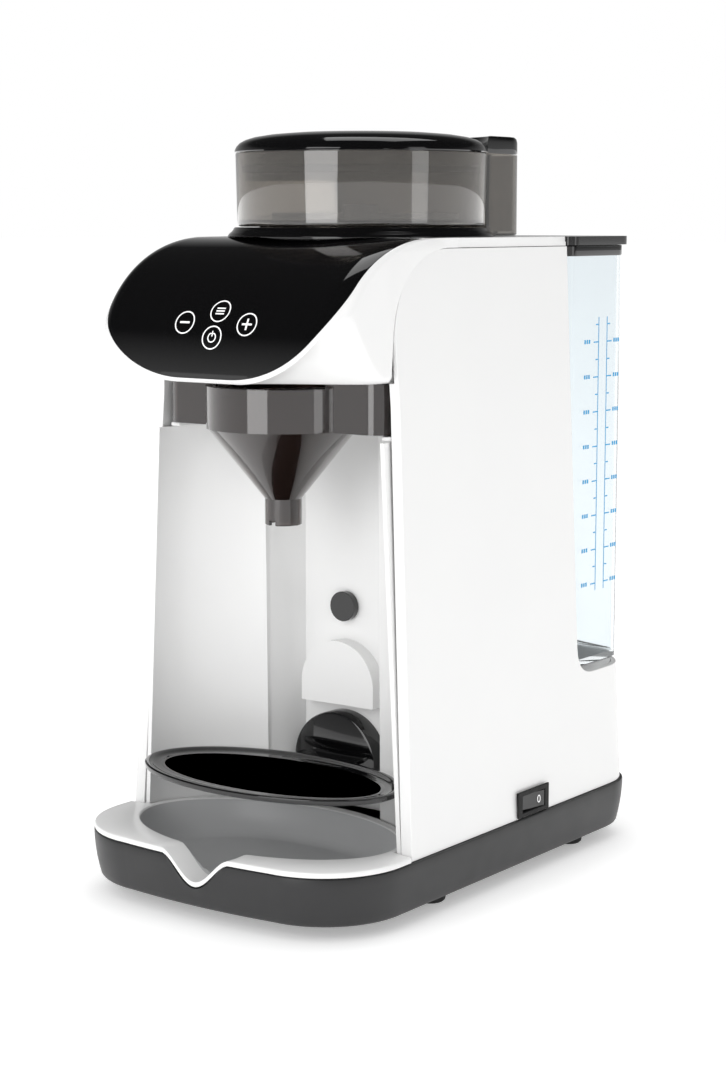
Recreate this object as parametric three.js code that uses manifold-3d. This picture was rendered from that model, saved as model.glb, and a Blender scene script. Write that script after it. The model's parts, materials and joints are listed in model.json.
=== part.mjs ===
// Counter-top infant formula dispenser: millimetres, +Z up, front towards -Y, origin on the table.
import * as THREE from 'three';
import { mergeVertices } from 'three/addons/utils/BufferGeometryUtils.js';
import Module from 'manifold-3d';

const wasm = await Module();
wasm.setup();

// ---- driving dimensions ----
const GAP = 0.3; // assembly gap between neighbouring pieces
const FAR = 250; // reach of a cut that passes right through
const HIGH = 600; // above every piece
const WALL = 3; // moulded housing wall
const THIN = 2.4; // wall of the clear and smoked vessels
const FLATNESS = 0.03; // facets closer to flat than this are merged

const BASE = { half: 92.5, front: -148, rear: 143, bottom: 8, top: 33, frontR: 46, rearR: 35, bow: 3,
  draft: 0.975, lip: WALL + 2.2 };
const HEAD = { half: 75, front: -134, top: 336, bottom: 266.6, crownY: -49, waist: 268, swell: 2.15,
  cornerR: 12, lipR: 4, cheekX: 59, cheekZ: 46.5, cheekY: -118, cheekIn: 26, rear: -26 };
const COVER = { half: HEAD.half - 2, bottom: HEAD.bottom + 2.4, cheekX: HEAD.cheekX - 1,
  cheekZ: HEAD.cheekZ - 1.5, seam: 0.15 };
const SHELL = { half: BASE.half - 1.6, lean: 0.0582, rear: BASE.rear - 0.4, rearR: BASE.rearR,
  top: HEAD.top - 5.2, seam: 50, wing: 6.5 };
const WING = { deckY: -87, midY: -80, midZ: 255, cornerY: -81, cornerZ: HEAD.top - 48, topY: -35 };
const FUNNEL = { y: -72, r: 39, bottom: 241, top: HEAD.bottom - 0.8, mouth: HEAD.bottom - 4.2, half: 69.6,
  front: -83, rear: -32.6, skin: 2.2, lip: 2.5, lipInner: 63.5 };
const SPOUT = { r: 9.5, bore: 7.3, top: FUNNEL.bottom - 36, bottom: FUNNEL.bottom - 49.4 };
const BAY = { y: -87, halfX: 81.2, halfY: 54, wall: 2.5, recessFront: 37, recessRear: 27.5, recessY: -18,
  top: FUNNEL.bottom - 3 };
const SENSOR = { r: 8, depth: 4, z: 142 };
const HOOK = { half: 23.5, body: 10.5, depth: 9, low: 49, pitch: 41 };
const STAND = { y: -84, halfX: 77, halfY: 43, bottom: HOOK.low + 12.3, top: HOOK.low + 15.8, rim: 4.5,
  sink: 1.7, skin: 2.5, play: 0.4, tongue: 20 };
const DOCK = { y: -5, cupR: 57, wall: 3, floor: HEAD.top - 14, flareR: 70, neckR: 66.4, rim: HEAD.top + 5,
  dogR: 5 };
const HOPPER = { r: 65.5, neckR: DOCK.cupR - 4, floor: DOCK.floor + 4, shoulder: DOCK.rim + GAP,
  seam: DOCK.rim + 37.9, outletR: 8, outletY: 38 };
const LOBE = { half: 50, rear: 79, r: 16, bottom: HEAD.top + 0.4, crown: HOPPER.seam + 9.6 };
const LID = { r: HOPPER.r + 0.5, top: HOPPER.seam + 11.1, skirtR: HOPPER.r - 4.7,
  skirtZ: HOPPER.seam - 14.9 };
const STIRRER = { hubR: 9, hub: 14, halfX: 58, halfY: 3, blade: 10 };
const SHELF = { z: 99, frontLow: 76, frontTop: 81, thick: 3.2 };
const TANK = { half: 75, front: SHELF.frontTop + 2, rear: BASE.rear + 2, r: 12, bottom: SHELF.z + 0.4,
  top: HEAD.top - 5, portY: 112, portR: 4.2 };
const TANK_LID = { half: TANK.half + 2.5, front: TANK.front - 1.2, rear: TANK.rear + 3, top: HEAD.top,
  plug: 5 };
const TRAY = { y: -87, halfX: 76, halfY: 47, top: BASE.top + 3.3, floor: 17, draft: 0.86, wall: 2.2,
  spoutX: 2, spoutHalf: 23, spoutZ: 22 };
const CHUTE = { r: 10, bore: 8.4, play: 0.7 };
const NOZZLE = { x: 20, z: HEAD.bottom + 13.1, r: 4, flangeR: 8, play: 0.4 };
const TOUCH = { half: 44, front: -123.5, rear: -121.9, low: 281, high: 295 };
const GEAR = { module: 1, wheelTeeth: 48, pinionTeeth: 12, z: DOCK.floor - 20, width: 5, pinR: 3 };
const MOTOR = { r: 14, length: 38, bossR: 4 };
const PUMP = { x: -32, z: 54, r: 17, front: 4, rear: 56, portR: 4, inletY: 46, outletY: 16, portTop: 78 };
const HEATER = { x: 36, y: 30, r: 22, top: 150, portR: 5, inletX: 24, inletY: 40, inletTop: 155,
  outletTop: 158 };
const HOSE = { r: 3 };
const INLET = { x: -34, halfX: 12, z: 52, halfZ: 8, depth: 21, pocket: 11, mouthX: 7, mouthZ: 4, play: 0.4 };
const SWITCH = { y: 23.5, length: 30, height: 14.2, z: 40.8, flange: 1.2, border: 2.6 };
const FOOT = { x: 72, frontY: -44, rearY: 92, r: 9, stem: 3.7 };
const SCREW = { x: 72, frontY: -16, rearY: 116, head: 3.6, shank: 1.5, length: 12, bossR: 4.5 };

// ---- materials ----
const finish = (color, roughness, metalness = 0, opacity = 1) =>
  new THREE.MeshStandardMaterial({ color, roughness, metalness, opacity, transparent: opacity < 1 });
const WHITE = finish('#f1f1f0', 0.28);
const GLOSS_BLACK = finish('#0b0b0c', 0.08);
const CHARCOAL = finish('#232324', 0.45);
const SMOKE = finish('#4a4743', 0.1, 0, 0.55);
const BROWN_SMOKE = finish('#2a1f1e', 0.12, 0, 0.8);
const CLEAR = finish('#f4f8fa', 0.06, 0, 0.3);
const GREY = finish('#a2a3a4', 0.4);
const RUBBER = finish('#1a1a1a', 0.8);
const STEEL = finish('#b9bbbd', 0.3, 1);
const BOARD = finish('#1f5a34', 0.5);
const SILICONE = finish('#d9dcdc', 0.55, 0, 0.7);

// ---- solids ----
const model = new THREE.Group();

function solid(geometry) {
  const bare = geometry.index ? geometry.toNonIndexed() : geometry.clone();
  bare.deleteAttribute('normal');
  bare.deleteAttribute('uv');
  const merged = mergeVertices(bare, 1e-4);
  const mesh = new wasm.Mesh({
    numProp: 3,
    vertProperties: new Float32Array(merged.attributes.position.array),
    triVerts: new Uint32Array(merged.index.array),
  });
  return new wasm.Manifold(mesh);
}

function piece(name, body, material) {
  const mesh = body.simplify(FLATNESS).getMesh();
  const geometry = new THREE.BufferGeometry();
  geometry.setAttribute('position', new THREE.BufferAttribute(new Float32Array(mesh.vertProperties), 3));
  geometry.setIndex(new THREE.BufferAttribute(new Uint32Array(mesh.triVerts), 1));
  geometry.computeVertexNormals();
  const part = new THREE.Mesh(geometry, material);
  part.name = name;
  model.add(part);
}

const basis = (x, y, z) => new THREE.Matrix4().makeBasis(
  new THREE.Vector3(...x), new THREE.Vector3(...y), new THREE.Vector3(...z));
const SIDEWAYS = basis([0, 1, 0], [0, 0, 1], [1, 0, 0]);
const FORWARDS = basis([1, 0, 0], [0, 0, 1], [0, -1, 0]);

const extrudeGeometry = (shape, depth, segments, steps = 1) =>
  new THREE.ExtrudeGeometry(shape, { depth, bevelEnabled: false, curveSegments: segments, steps });

// a plan outline raised from z0 to z1; reshape may move each point in plan by its height
function plan(shape, z0, z1, reshape = null, segments = 6, steps = 1) {
  const geometry = extrudeGeometry(shape, z1 - z0, segments, steps).translate(0, 0, z0);
  if (reshape) bend(geometry, reshape);
  return solid(geometry);
}

// a side view outline (y, z) drawn out along X, and a front view outline (x, z) drawn out along Y
const side = (shape, x0, x1, segments = 8) =>
  solid(extrudeGeometry(shape, x1 - x0, segments).applyMatrix4(SIDEWAYS).translate(x0, 0, 0));
const front = (shape, y0, y1, segments = 8) =>
  solid(extrudeGeometry(shape, y1 - y0, segments).applyMatrix4(FORWARDS).translate(0, y1, 0));

function bend(geometry, move) {
  const at = geometry.attributes.position;
  for (let i = 0; i < at.count; i += 1) {
    at.setXYZ(i, ...move(at.getX(i), at.getY(i), at.getZ(i)));
  }
}

function block(x0, x1, y0, y1, z0, z1) {
  const geometry = new THREE.BoxGeometry(x1 - x0, y1 - y0, z1 - z0);
  return solid(geometry.translate((x0 + x1) / 2, (y0 + y1) / 2, (z0 + z1) / 2));
}

// a profile of [radius, z] points turned about a vertical axis at (x, y)
function turned(points, x = 0, y = 0, segments = 32) {
  const profile = points.map(([r, z]) => new THREE.Vector2(r, z));
  if (THREE.ShapeUtils.area(profile) < 0) profile.reverse();
  profile.push(profile[0]);
  return solid(new THREE.LatheGeometry(profile, segments).rotateX(Math.PI / 2).translate(x, y, 0));
}

const rod = (r, z0, z1, x = 0, y = 0, segments = 32) =>
  turned([[0, z0], [r, z0], [r, z1], [0, z1]], x, y, segments);

const rodAlongY = (r, y0, y1, x, z, segments = 28) =>
  solid(new THREE.CylinderGeometry(r, r, y1 - y0, segments).translate(x, (y0 + y1) / 2, z));

const join = (...bodies) => bodies.reduce((all, body) => all.add(body));
const cut = (body, ...tools) => tools.reduce((rest, tool) => rest.subtract(tool), body);

// ---- outlines ----
const polygon = (points) => new THREE.Shape(points.map(([a, b]) => new THREE.Vector2(a, b)));

function ellipse(halfX, halfY, y) {
  const shape = new THREE.Shape();
  shape.absellipse(0, y, halfX, halfY, 0, Math.PI * 2);
  return shape;
}

function roundedBox(half, y0, y1, frontR, rearR = frontR) {
  const shape = new THREE.Shape();
  shape.moveTo(-half + frontR, y0);
  shape.lineTo(half - frontR, y0);
  shape.absarc(half - frontR, y0 + frontR, frontR, -Math.PI / 2, 0);
  shape.absarc(half - rearR, y1 - rearR, rearR, 0, Math.PI / 2);
  shape.absarc(-half + rearR, y1 - rearR, rearR, Math.PI / 2, Math.PI);
  shape.absarc(-half + frontR, y0 + frontR, frontR, Math.PI, Math.PI * 1.5);
  return shape;
}

// the base in plan, drawn in by an inset; its front edge bows out between the corners
function baseOutline(inset = 0) {
  const half = BASE.half - inset;
  const r = BASE.frontR - inset;
  const rear = BASE.rear - inset;
  const rearR = BASE.rearR - inset;
  const y = BASE.front + BASE.bow + inset;
  const shape = new THREE.Shape();
  shape.moveTo(-half + r, y);
  shape.quadraticCurveTo(0, y - 2 * BASE.bow, half - r, y);
  shape.absarc(half - r, y + r, r, -Math.PI / 2, 0);
  shape.absarc(half - rearR, rear - rearR, rearR, 0, Math.PI / 2);
  shape.absarc(-half + rearR, rear - rearR, rearR, Math.PI / 2, Math.PI);
  shape.absarc(-half + r, y + r, r, Math.PI, Math.PI * 1.5);
  return shape;
}

// ---- the leaning side walls ----
const outerHalf = (z) => SHELL.half - SHELL.lean * (z - BASE.top);
const leaning = (x, y, z) => [x * outerHalf(z) / SHELL.half, y, z];
const ENVELOPE_TOP = HEAD.top + 9;

function envelope(inset) {
  const shape = roundedBox(SHELL.half - inset, BASE.front - 20, SHELL.rear - inset, 1, SHELL.rearR - inset);
  return plan(shape, 20, ENVELOPE_TOP, leaning, 8);
}

// the side panel seen from the side, grown by an offset
function panelOutline(grow = 0) {
  const low = BASE.top + GAP - grow;
  const shape = new THREE.Shape();
  shape.moveTo(WING.deckY - grow, low);
  shape.quadraticCurveTo(WING.midY - 2.4 - grow, WING.midZ - 60, WING.midY - grow, WING.midZ);
  shape.lineTo(WING.cornerY - grow, WING.cornerZ);
  shape.bezierCurveTo(WING.cornerY + 1 - grow, WING.cornerZ + 24 + grow, WING.topY - 28 - grow,
    SHELL.top - 1 + grow, WING.topY, SHELL.top + grow);
  shape.lineTo(SHELF.frontTop + grow, SHELL.top + grow);
  shape.lineTo(SHELF.frontLow + 0.6 + grow, SHELF.z + 14 + grow);
  shape.quadraticCurveTo(SHELF.frontLow + 1, SHELF.z + grow, SHELF.frontLow + 16, SHELF.z + grow);
  shape.lineTo(BASE.rear + grow, SHELF.z + grow);
  shape.lineTo(BASE.rear + grow, low);
  return shape;
}

// ---- base ----
function buildBase() {
  const draft = (x, y, z) => {
    const t = (BASE.top - z) / (BASE.top - BASE.bottom);
    const k = 1 - (1 - BASE.draft) * t * t;
    return [x * k, y * k, z];
  };
  const floor = BASE.top - WALL;
  const outer = plan(baseOutline(), BASE.bottom, BASE.top, draft, 6, 2);
  const deckY = TRAY.y + TRAY.halfY + TRAY.wall + 1;
  let skirt = cut(outer, plan(baseOutline(BASE.lip), 0, floor));
  const trayWell = plan(baseOutline(BASE.lip), floor - 1, BASE.top + 1).intersect(
    block(-FAR, FAR, -FAR, deckY, 0, TRAY.top + WALL));
  skirt = cut(skirt, trayWell, spoutChannel(WALL + GAP));
  const screws = screwPlaces();
  screws.forEach(([x, y]) => {
    const post = rod(SCREW.bossR, BASE.bottom + 6, floor + 1, x, y, 16);
    const boss = cut(post, rod(SCREW.shank + GAP, 0, floor - 1.5, x, y, 12));
    skirt = skirt.add(boss);
  });
  piece('base_skirt', skirt, CHARCOAL);

  const feet = footPlaces();
  let plate = plan(baseOutline(BASE.lip + GAP), BASE.bottom + 1, BASE.bottom + 5);
  plate = cut(plate, plan(baseOutline(BASE.lip + 2.3), BASE.bottom + 3.2, BASE.bottom + 9));
  feet.forEach(([x, y]) => {
    plate = cut(plate, rod(FOOT.stem + GAP, 0, floor, x, y, 16));
  });
  screws.forEach(([x, y]) => {
    plate = cut(plate, rod(SCREW.shank + 0.4, 0, floor, x, y, 12));
  });
  piece('base_plate', plate, CHARCOAL);

  feet.forEach(([x, y, name]) => {
    const under = BASE.bottom + 1 - GAP;
    const profile = [[0, 0], [FOOT.r - 2, 0], [FOOT.r - 1, 1], [FOOT.r, under - 1], [FOOT.r, under],
      [FOOT.stem, under], [FOOT.stem, under + 5], [0, under + 5]];
    piece(`foot_${name}`, turned(profile, x, y, 20), RUBBER);
  });
  screws.forEach(([x, y, name]) => {
    const seat = BASE.bottom + 1 - GAP;
    const profile = [[0, seat - 2.2], [SCREW.head - 1, seat - 2.2], [SCREW.head, seat - 1.2],
      [SCREW.head, seat], [SCREW.shank, seat], [SCREW.shank, seat + SCREW.length],
      [0, seat + SCREW.length + 1]];
    piece(`base_screw_${name}`, turned(profile, x, y, 14), STEEL);
  });
}

const corners = (x, frontY, rearY) => [
  [-x, frontY, 'front_left'], [x, frontY, 'front_right'], [-x, rearY, 'rear_left'], [x, rearY, 'rear_right']];
const footPlaces = () => corners(FOOT.x, FOOT.frontY, FOOT.rearY);
const screwPlaces = () => corners(SCREW.x, SCREW.frontY, SCREW.rearY);

// ---- drip tray ----
// the pouring spout is a bell-shaped valley through the tray's front lip
function spoutChannel(grow) {
  const half = TRAY.spoutHalf + grow;
  const low = TRAY.spoutZ - grow;
  const points = [];
  for (let i = 0; i <= 16; i += 1) {
    const t = -1 + i / 8;
    points.push([TRAY.spoutX + t * half, low + (TRAY.top - low) * (1 - Math.cos(Math.PI * t)) / 2]);
  }
  points.push([TRAY.spoutX + half, TRAY.top + 5], [TRAY.spoutX - half, TRAY.top + 5]);
  return front(polygon(points), BASE.front - 5, TRAY.y - 20);
}

function buildTray() {
  const draft = (x, y, z) => {
    const t = Math.min(1, (TRAY.top - z) / (TRAY.top - TRAY.floor));
    const k = 1 - (1 - TRAY.draft) * t * t;
    return [x * k, TRAY.y + (y - TRAY.y) * k, z];
  };
  const low = BASE.top + GAP;
  const ahead = plan(baseOutline(GAP), low, TRAY.top).intersect(
    block(-FAR, FAR, -FAR, WING.deckY - 1, 0, TRAY.top + WALL));
  const between = plan(ellipse(BAY.halfX - 1.6, BAY.halfY - 1, BAY.y), low, TRAY.top);
  const bowl = plan(ellipse(TRAY.halfX + TRAY.wall, TRAY.halfY + TRAY.wall, TRAY.y), TRAY.floor - THIN,
    TRAY.top, draft, 10, 3);
  const spout = spoutChannel(WALL - 0.4).intersect(plan(baseOutline(GAP), 5, TRAY.top));
  const hollow = plan(ellipse(TRAY.halfX, TRAY.halfY, TRAY.y), TRAY.floor, TRAY.top + 0.01, draft, 10, 3);
  piece('drip_tray', cut(join(ahead, between, bowl, spout), hollow, spoutChannel(0)), WHITE);
}

// ---- side shells ----
function buildSideShells() {
  const thin = cut(envelope(0), envelope(WALL));
  const wing = cut(envelope(0), envelope(SHELL.wing)).intersect(
    block(-FAR, FAR, -FAR, WING.midY + 22, 0, HEAD.bottom));
  const walls = thin.add(wing);
  [['left', -1], ['right', 1]].forEach(([name, hand]) => {
    const outline = side(panelOutline(), hand > 0 ? SHELL.seam : -FAR, hand > 0 ? FAR : -SHELL.seam, 14);
    let shell = walls.intersect(outline);
    if (hand > 0) {
      const [y, z, h, v] = [SWITCH.y, SWITCH.z, SWITCH.length / 2 - 1.5, SWITCH.height / 2 - 0.9];
      shell = cut(shell, block(SHELL.seam, FAR, y - h, y + h, z - v, z + v));
    }
    piece(`side_shell_${name}`, shell, WHITE);
  });
}

// ---- rear housing: tank pocket wall, shelf and lower rear panel ----
function buildRearHousing() {
  const inner = envelope(WALL + GAP);
  const wall = side(polygon([[SHELF.frontTop - 1, SHELL.top - 0.6], [SHELF.frontLow - 1, SHELF.z - 3],
    [SHELF.frontLow - 4, SHELF.z - 3], [SHELF.frontTop - 4, SHELL.top - 0.6]]), -FAR, FAR).intersect(inner);
  const under = SHELF.z - SHELF.thick;
  const shelf = inner.intersect(block(-FAR, FAR, SHELF.frontLow - 4, SHELL.rear, under, SHELF.z))
    .add(block(-SHELL.seam + GAP, SHELL.seam - GAP, SHELL.rear - 8, SHELL.rear, under, SHELF.z));
  const panel = block(-SHELL.seam + GAP, SHELL.seam - GAP, SHELL.rear - WALL, SHELL.rear, BASE.top + GAP,
    SHELF.z);
  const port = rod(9, SHELF.z - 20, SHELF.z + 20, 0, TANK.portY, 20);
  const inlet = inletBlock(0, 0, SHELL.rear - 20, SHELL.rear + 20);
  piece('rear_housing', cut(join(wall, shelf, panel), port, inlet), WHITE);
  const z = SHELF.z;
  const seat = turned([[0, z - 16], [5, z - 16], [5, z - 6], [12, z - 6], [12, z - 3.6], [8.7, z - 3.6],
    [8.7, z - GAP], [6.4, z - GAP], [6.4, z - 5], [0, z - 5]], 0, TANK.portY, 24);
  piece('tank_seat', seat, GREY);
  const socket = inletBlock(-INLET.play, -INLET.play, BASE.rear - INLET.depth, SHELL.rear);
  const flange = inletBlock(2, 2, SHELL.rear + GAP, BASE.rear + 1.2);
  const bridge = inletBlock(-INLET.play, -INLET.play, SHELL.rear - 1, BASE.rear + 0.5);
  const mouth = inletBlock(INLET.mouthX - INLET.halfX, INLET.mouthZ - INLET.halfZ, BASE.rear - INLET.pocket,
    BASE.rear + 10);
  piece('power_inlet', cut(join(socket, flange, bridge), mouth), RUBBER);
}

// a block round the inlet's middle, grown in width and height
function inletBlock(growX, growZ, y0, y1) {
  const { x, halfX, z, halfZ } = INLET;
  return block(x - halfX - growX, x + halfX + growX, y0, y1, z - halfZ - growZ, z + halfZ + growZ);
}

// ---- bottle bay ----
function archOutline(half, low, straight) {
  const shape = new THREE.Shape();
  shape.moveTo(-half, low);
  shape.lineTo(half, low);
  shape.absarc(0, low + straight, half, 0, Math.PI);
  return shape;
}

function buildBay() {
  const region = (grow) => {
    const z0 = BASE.top + GAP;
    const bowl = plan(ellipse(BAY.halfX + grow, BAY.halfY + grow, BAY.y), z0, BAY.top, leaning, 20);
    const recess = polygon([[-BAY.recessFront - grow, BAY.y + 30], [BAY.recessFront + grow, BAY.y + 30],
      [BAY.recessFront + grow, BAY.y + 50], [BAY.recessRear + grow, BAY.recessY + grow],
      [-BAY.recessRear - grow, BAY.recessY + grow], [-BAY.recessFront - grow, BAY.y + 50]]);
    return bowl.add(plan(recess, z0, BAY.top));
  };
  let wall = cut(region(BAY.wall), region(0)).intersect(block(-FAR, FAR, BAY.y + 1, 0, 0, HIGH));
  [HOOK.low, HOOK.low + HOOK.pitch].forEach((z) => {
    const hook = front(archOutline(HOOK.half, z, HOOK.body), BAY.recessY - HOOK.depth, BAY.recessY + 1, 10);
    wall = wall.add(hook);
  });
  piece('bay_wall', wall, WHITE);
  const lens = rodAlongY(SENSOR.r, BAY.recessY - GAP - SENSOR.depth, BAY.recessY - GAP, 0, SENSOR.z, 24);
  piece('bottle_sensor', lens, GLOSS_BLACK);

  // the funnel bay closes the space behind and above the bay wall
  const z = BAY.top + GAP;
  const width = outerHalf(FUNNEL.top) - SHELL.wing - GAP;
  const rearY = FUNNEL.rear + 3;
  const floor = cut(block(-width, width, WING.midY + 3, BAY.recessY + BAY.wall, z, z + 2),
    plan(ellipse(width - 4, BAY.halfY - 8, BAY.y), z - 1, z + 3, null, 16),
    rod(FUNNEL.r, z - 1, z + 3, 0, FUNNEL.y, 40));
  const back = block(-width, width, rearY, rearY + WALL, z, HEAD.bottom - GAP);
  piece('funnel_bay', floor.add(back), WHITE);
}

// ---- bottle stand ----
function buildStand() {
  const { y, halfX, halfY, bottom, top, rim, sink, skin, play, tongue } = STAND;
  const dish = cut(plan(ellipse(halfX, halfY, y), bottom, top, null, 16),
    plan(ellipse(halfX - rim, halfY - rim, y), top - sink, top + 1, null, 16));
  const faceY = BAY.recessY - HOOK.depth - play;
  const bridge = block(-tongue, tongue, y + halfY - 8, faceY - 1, bottom, bottom + 2);
  const hem = HOOK.low + 5;
  const spring = HOOK.body - 5;
  const hood = cut(
    front(archOutline(HOOK.half + play + skin, hem, spring), faceY - skin, BAY.recessY - GAP, 10),
    front(archOutline(HOOK.half + play, hem - 1, spring + 1), faceY, BAY.recessY + 1, 10));
  piece('bottle_stand', join(dish, bridge, hood), GLOSS_BLACK);
}

// ---- head ----
// the head is drawn along X with its front set back towards the sides, so that the corners are round in plan
function headBody(inset) {
  const half = HEAD.half - inset;
  const [top, bottom] = [HEAD.top - inset, HEAD.bottom + inset];
  const [reach, rise] = [HEAD.crownY - HEAD.front - inset, top - HEAD.waist];
  const rear = inset ? HEAD.rear + 20 : HEAD.rear;
  const front = HEAD.front + inset;
  const points = [[rear, top]];
  const facets = 20;
  for (let i = 0; i <= facets; i += 1) {
    const angle = (i / facets) * (Math.PI / 2);
    points.push([HEAD.crownY - reach * Math.sin(angle) ** (2 / HEAD.swell),
      HEAD.waist + rise * Math.cos(angle) ** (2 / HEAD.swell)]);
  }
  const lip = Math.max(0.5, HEAD.lipR - inset);
  points.push([front + lip * 0.3, bottom + lip * 0.3], [front + lip, bottom], [rear, bottom]);
  const geometry = extrudeGeometry(polygon(points.reverse()), 2 * half, 1, 12).applyMatrix4(SIDEWAYS)
    .translate(-half, 0, 0);
  const r = HEAD.cornerR - inset;
  const flat = half - r;
  bend(geometry, (x, y, z) => {
    const t = x / half;
    const across = half * Math.sign(t) * (1 - (1 - Math.abs(t)) ** 2);
    const past = Math.max(0, Math.abs(across) - flat);
    const back = r - Math.sqrt(Math.max(0, r * r - past * past));
    const share = THREE.MathUtils.clamp((rear - y) / (rear - HEAD.crownY), 0, 1);
    return [across, y + back * share, z];
  });
  return solid(geometry);
}

// front view outline with wide elliptical lower corners, drawn from y0 to y1
function cheekPrism(half, low, cheekX, cheekZ, y0, y1) {
  const shape = new THREE.Shape();
  shape.moveTo(-half + cheekX, low);
  shape.lineTo(half - cheekX, low);
  shape.absellipse(half - cheekX, low + cheekZ, cheekX, cheekZ, -Math.PI / 2, 0);
  shape.lineTo(half, HIGH);
  shape.lineTo(-half, HIGH);
  shape.absellipse(-half + cheekX, low + cheekZ, cheekX, cheekZ, Math.PI, Math.PI * 1.5);
  return front(shape, y0, y1, 8);
}

// the wide corners of the front shrink to nearly square ones where the head meets the wings
function headRegion(inset) {
  const [half, low] = [HEAD.half - inset, HEAD.bottom + inset];
  const prism = cheekPrism(half, low, HEAD.cheekX - inset, HEAD.cheekZ - inset, HEAD.front - 5, WING.deckY);
  const square = block(-half, half, WING.deckY, 20, low, HIGH);
  const wedge = cheekWedge(half, low);
  return join(prism, square, wedge);
}

// fills the lower corners from the front's arc to the wing, as a sloping facet
function cheekWedge(half, low) {
  const { cheekY, cheekZ, cheekIn } = HEAD;
  const rear = WING.deckY + 1;
  const body = side(polygon([[cheekY, low], [rear, low], [rear, low + cheekZ], [cheekY + 2, low + cheekZ]]),
    -half, half);
  const facet = polygon([[cheekY - 1, low + cheekZ * 0.9], [WING.deckY, low], [WING.deckY, low - WALL],
    [cheekY - 1, low - WALL]]);
  return cut(body, side(facet, half - cheekIn, half + 1), side(facet, -half - 1, -half + cheekIn));
}

function buildHead() {
  const shell = cut(headBody(0).intersect(headRegion(0)), headBody(WALL).intersect(headRegion(WALL)));
  const cup = rod(DOCK.cupR + GAP, HEAD.top - 36, HEAD.top + 14, 0, DOCK.y, 36);
  const face = (grow) => cheekPrism(COVER.half + grow, COVER.bottom - grow, COVER.cheekX, COVER.cheekZ, -FAR,
    HEAD.crownY - 2 + grow);
  const within = HEAD.half - 11;
  const sides = cut(side(panelOutline(GAP), -FAR, FAR), block(-within, within, -FAR, FAR, 0, HIGH));
  const innerFront = HEAD.front + WALL + 0.5;
  const floorPlate = block(-FAR, FAR, innerFront, 0, 0, HEAD.bottom + WALL + 0.1);
  piece('control_cover', cut(shell.intersect(face(-COVER.seam)), cup, sides, floorPlate), GLOSS_BLACK);

  const nose = cut(shell, face(COVER.seam));
  const width = outerHalf(HEAD.top) - 0.2;
  const rear = SHELF.frontTop;
  const topPlate = block(-width, width, HEAD.crownY - 1.5, rear, HEAD.top - WALL, HEAD.top);
  const bands = cut(block(-width, width, WING.topY - 16, rear, SHELL.top + GAP, HEAD.top - 1),
    block(-width + WALL, width - WALL, -FAR, rear - WALL, 0, HEAD.top - WALL));
  const [holeLow, holeHigh] = [HEAD.bottom - 1, HEAD.bottom + 33];
  const chuteHole = rod(CHUTE.r + CHUTE.play, holeLow, holeHigh, 0, FUNNEL.y, 20)
    .add(rod(NOZZLE.r + NOZZLE.play, holeLow, holeHigh, NOZZLE.x, FUNNEL.y, 16));
  piece('upper_housing', cut(join(nose, topPlate, bands), sides, cup, chuteHole), WHITE);
  const board = block(-TOUCH.half, TOUCH.half, TOUCH.front, TOUCH.rear, TOUCH.low, TOUCH.high);
  piece('touch_board', board, BOARD);
}

// ---- powder container and its dock ----
const lobeOutline = (inset) =>
  roundedBox(LOBE.half - inset, DOCK.y + 25, LOBE.rear - inset, 1, LOBE.r - inset);

function buildDock() {
  const { y, cupR, wall, floor, flareR, neckR, rim } = DOCK;
  const seat = HEAD.top + GAP;
  const cup = turned([[DOCK.dogR + 1.5, floor], [cupR, floor], [cupR, seat], [flareR, seat],
    [flareR - 1.5, seat + 1.2], [neckR + 0.6, rim - 1.6], [neckR, rim], [cupR - wall, rim],
    [cupR - wall, floor + wall],
    [DOCK.dogR + 1.5, floor + wall]], 0, y, 36);
  const outlet = rod(HOPPER.outletR, floor - 1, floor + 6, 0, y - HOPPER.outletY, 20);
  const lobeRoom = plan(lobeOutline(-0.5), LOBE.bottom - GAP, HIGH).intersect(
    block(-FAR, FAR, y + 40, FAR, 0, HIGH));
  piece('container_dock', cut(cup, outlet, lobeRoom), GLOSS_BLACK);
}

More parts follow.
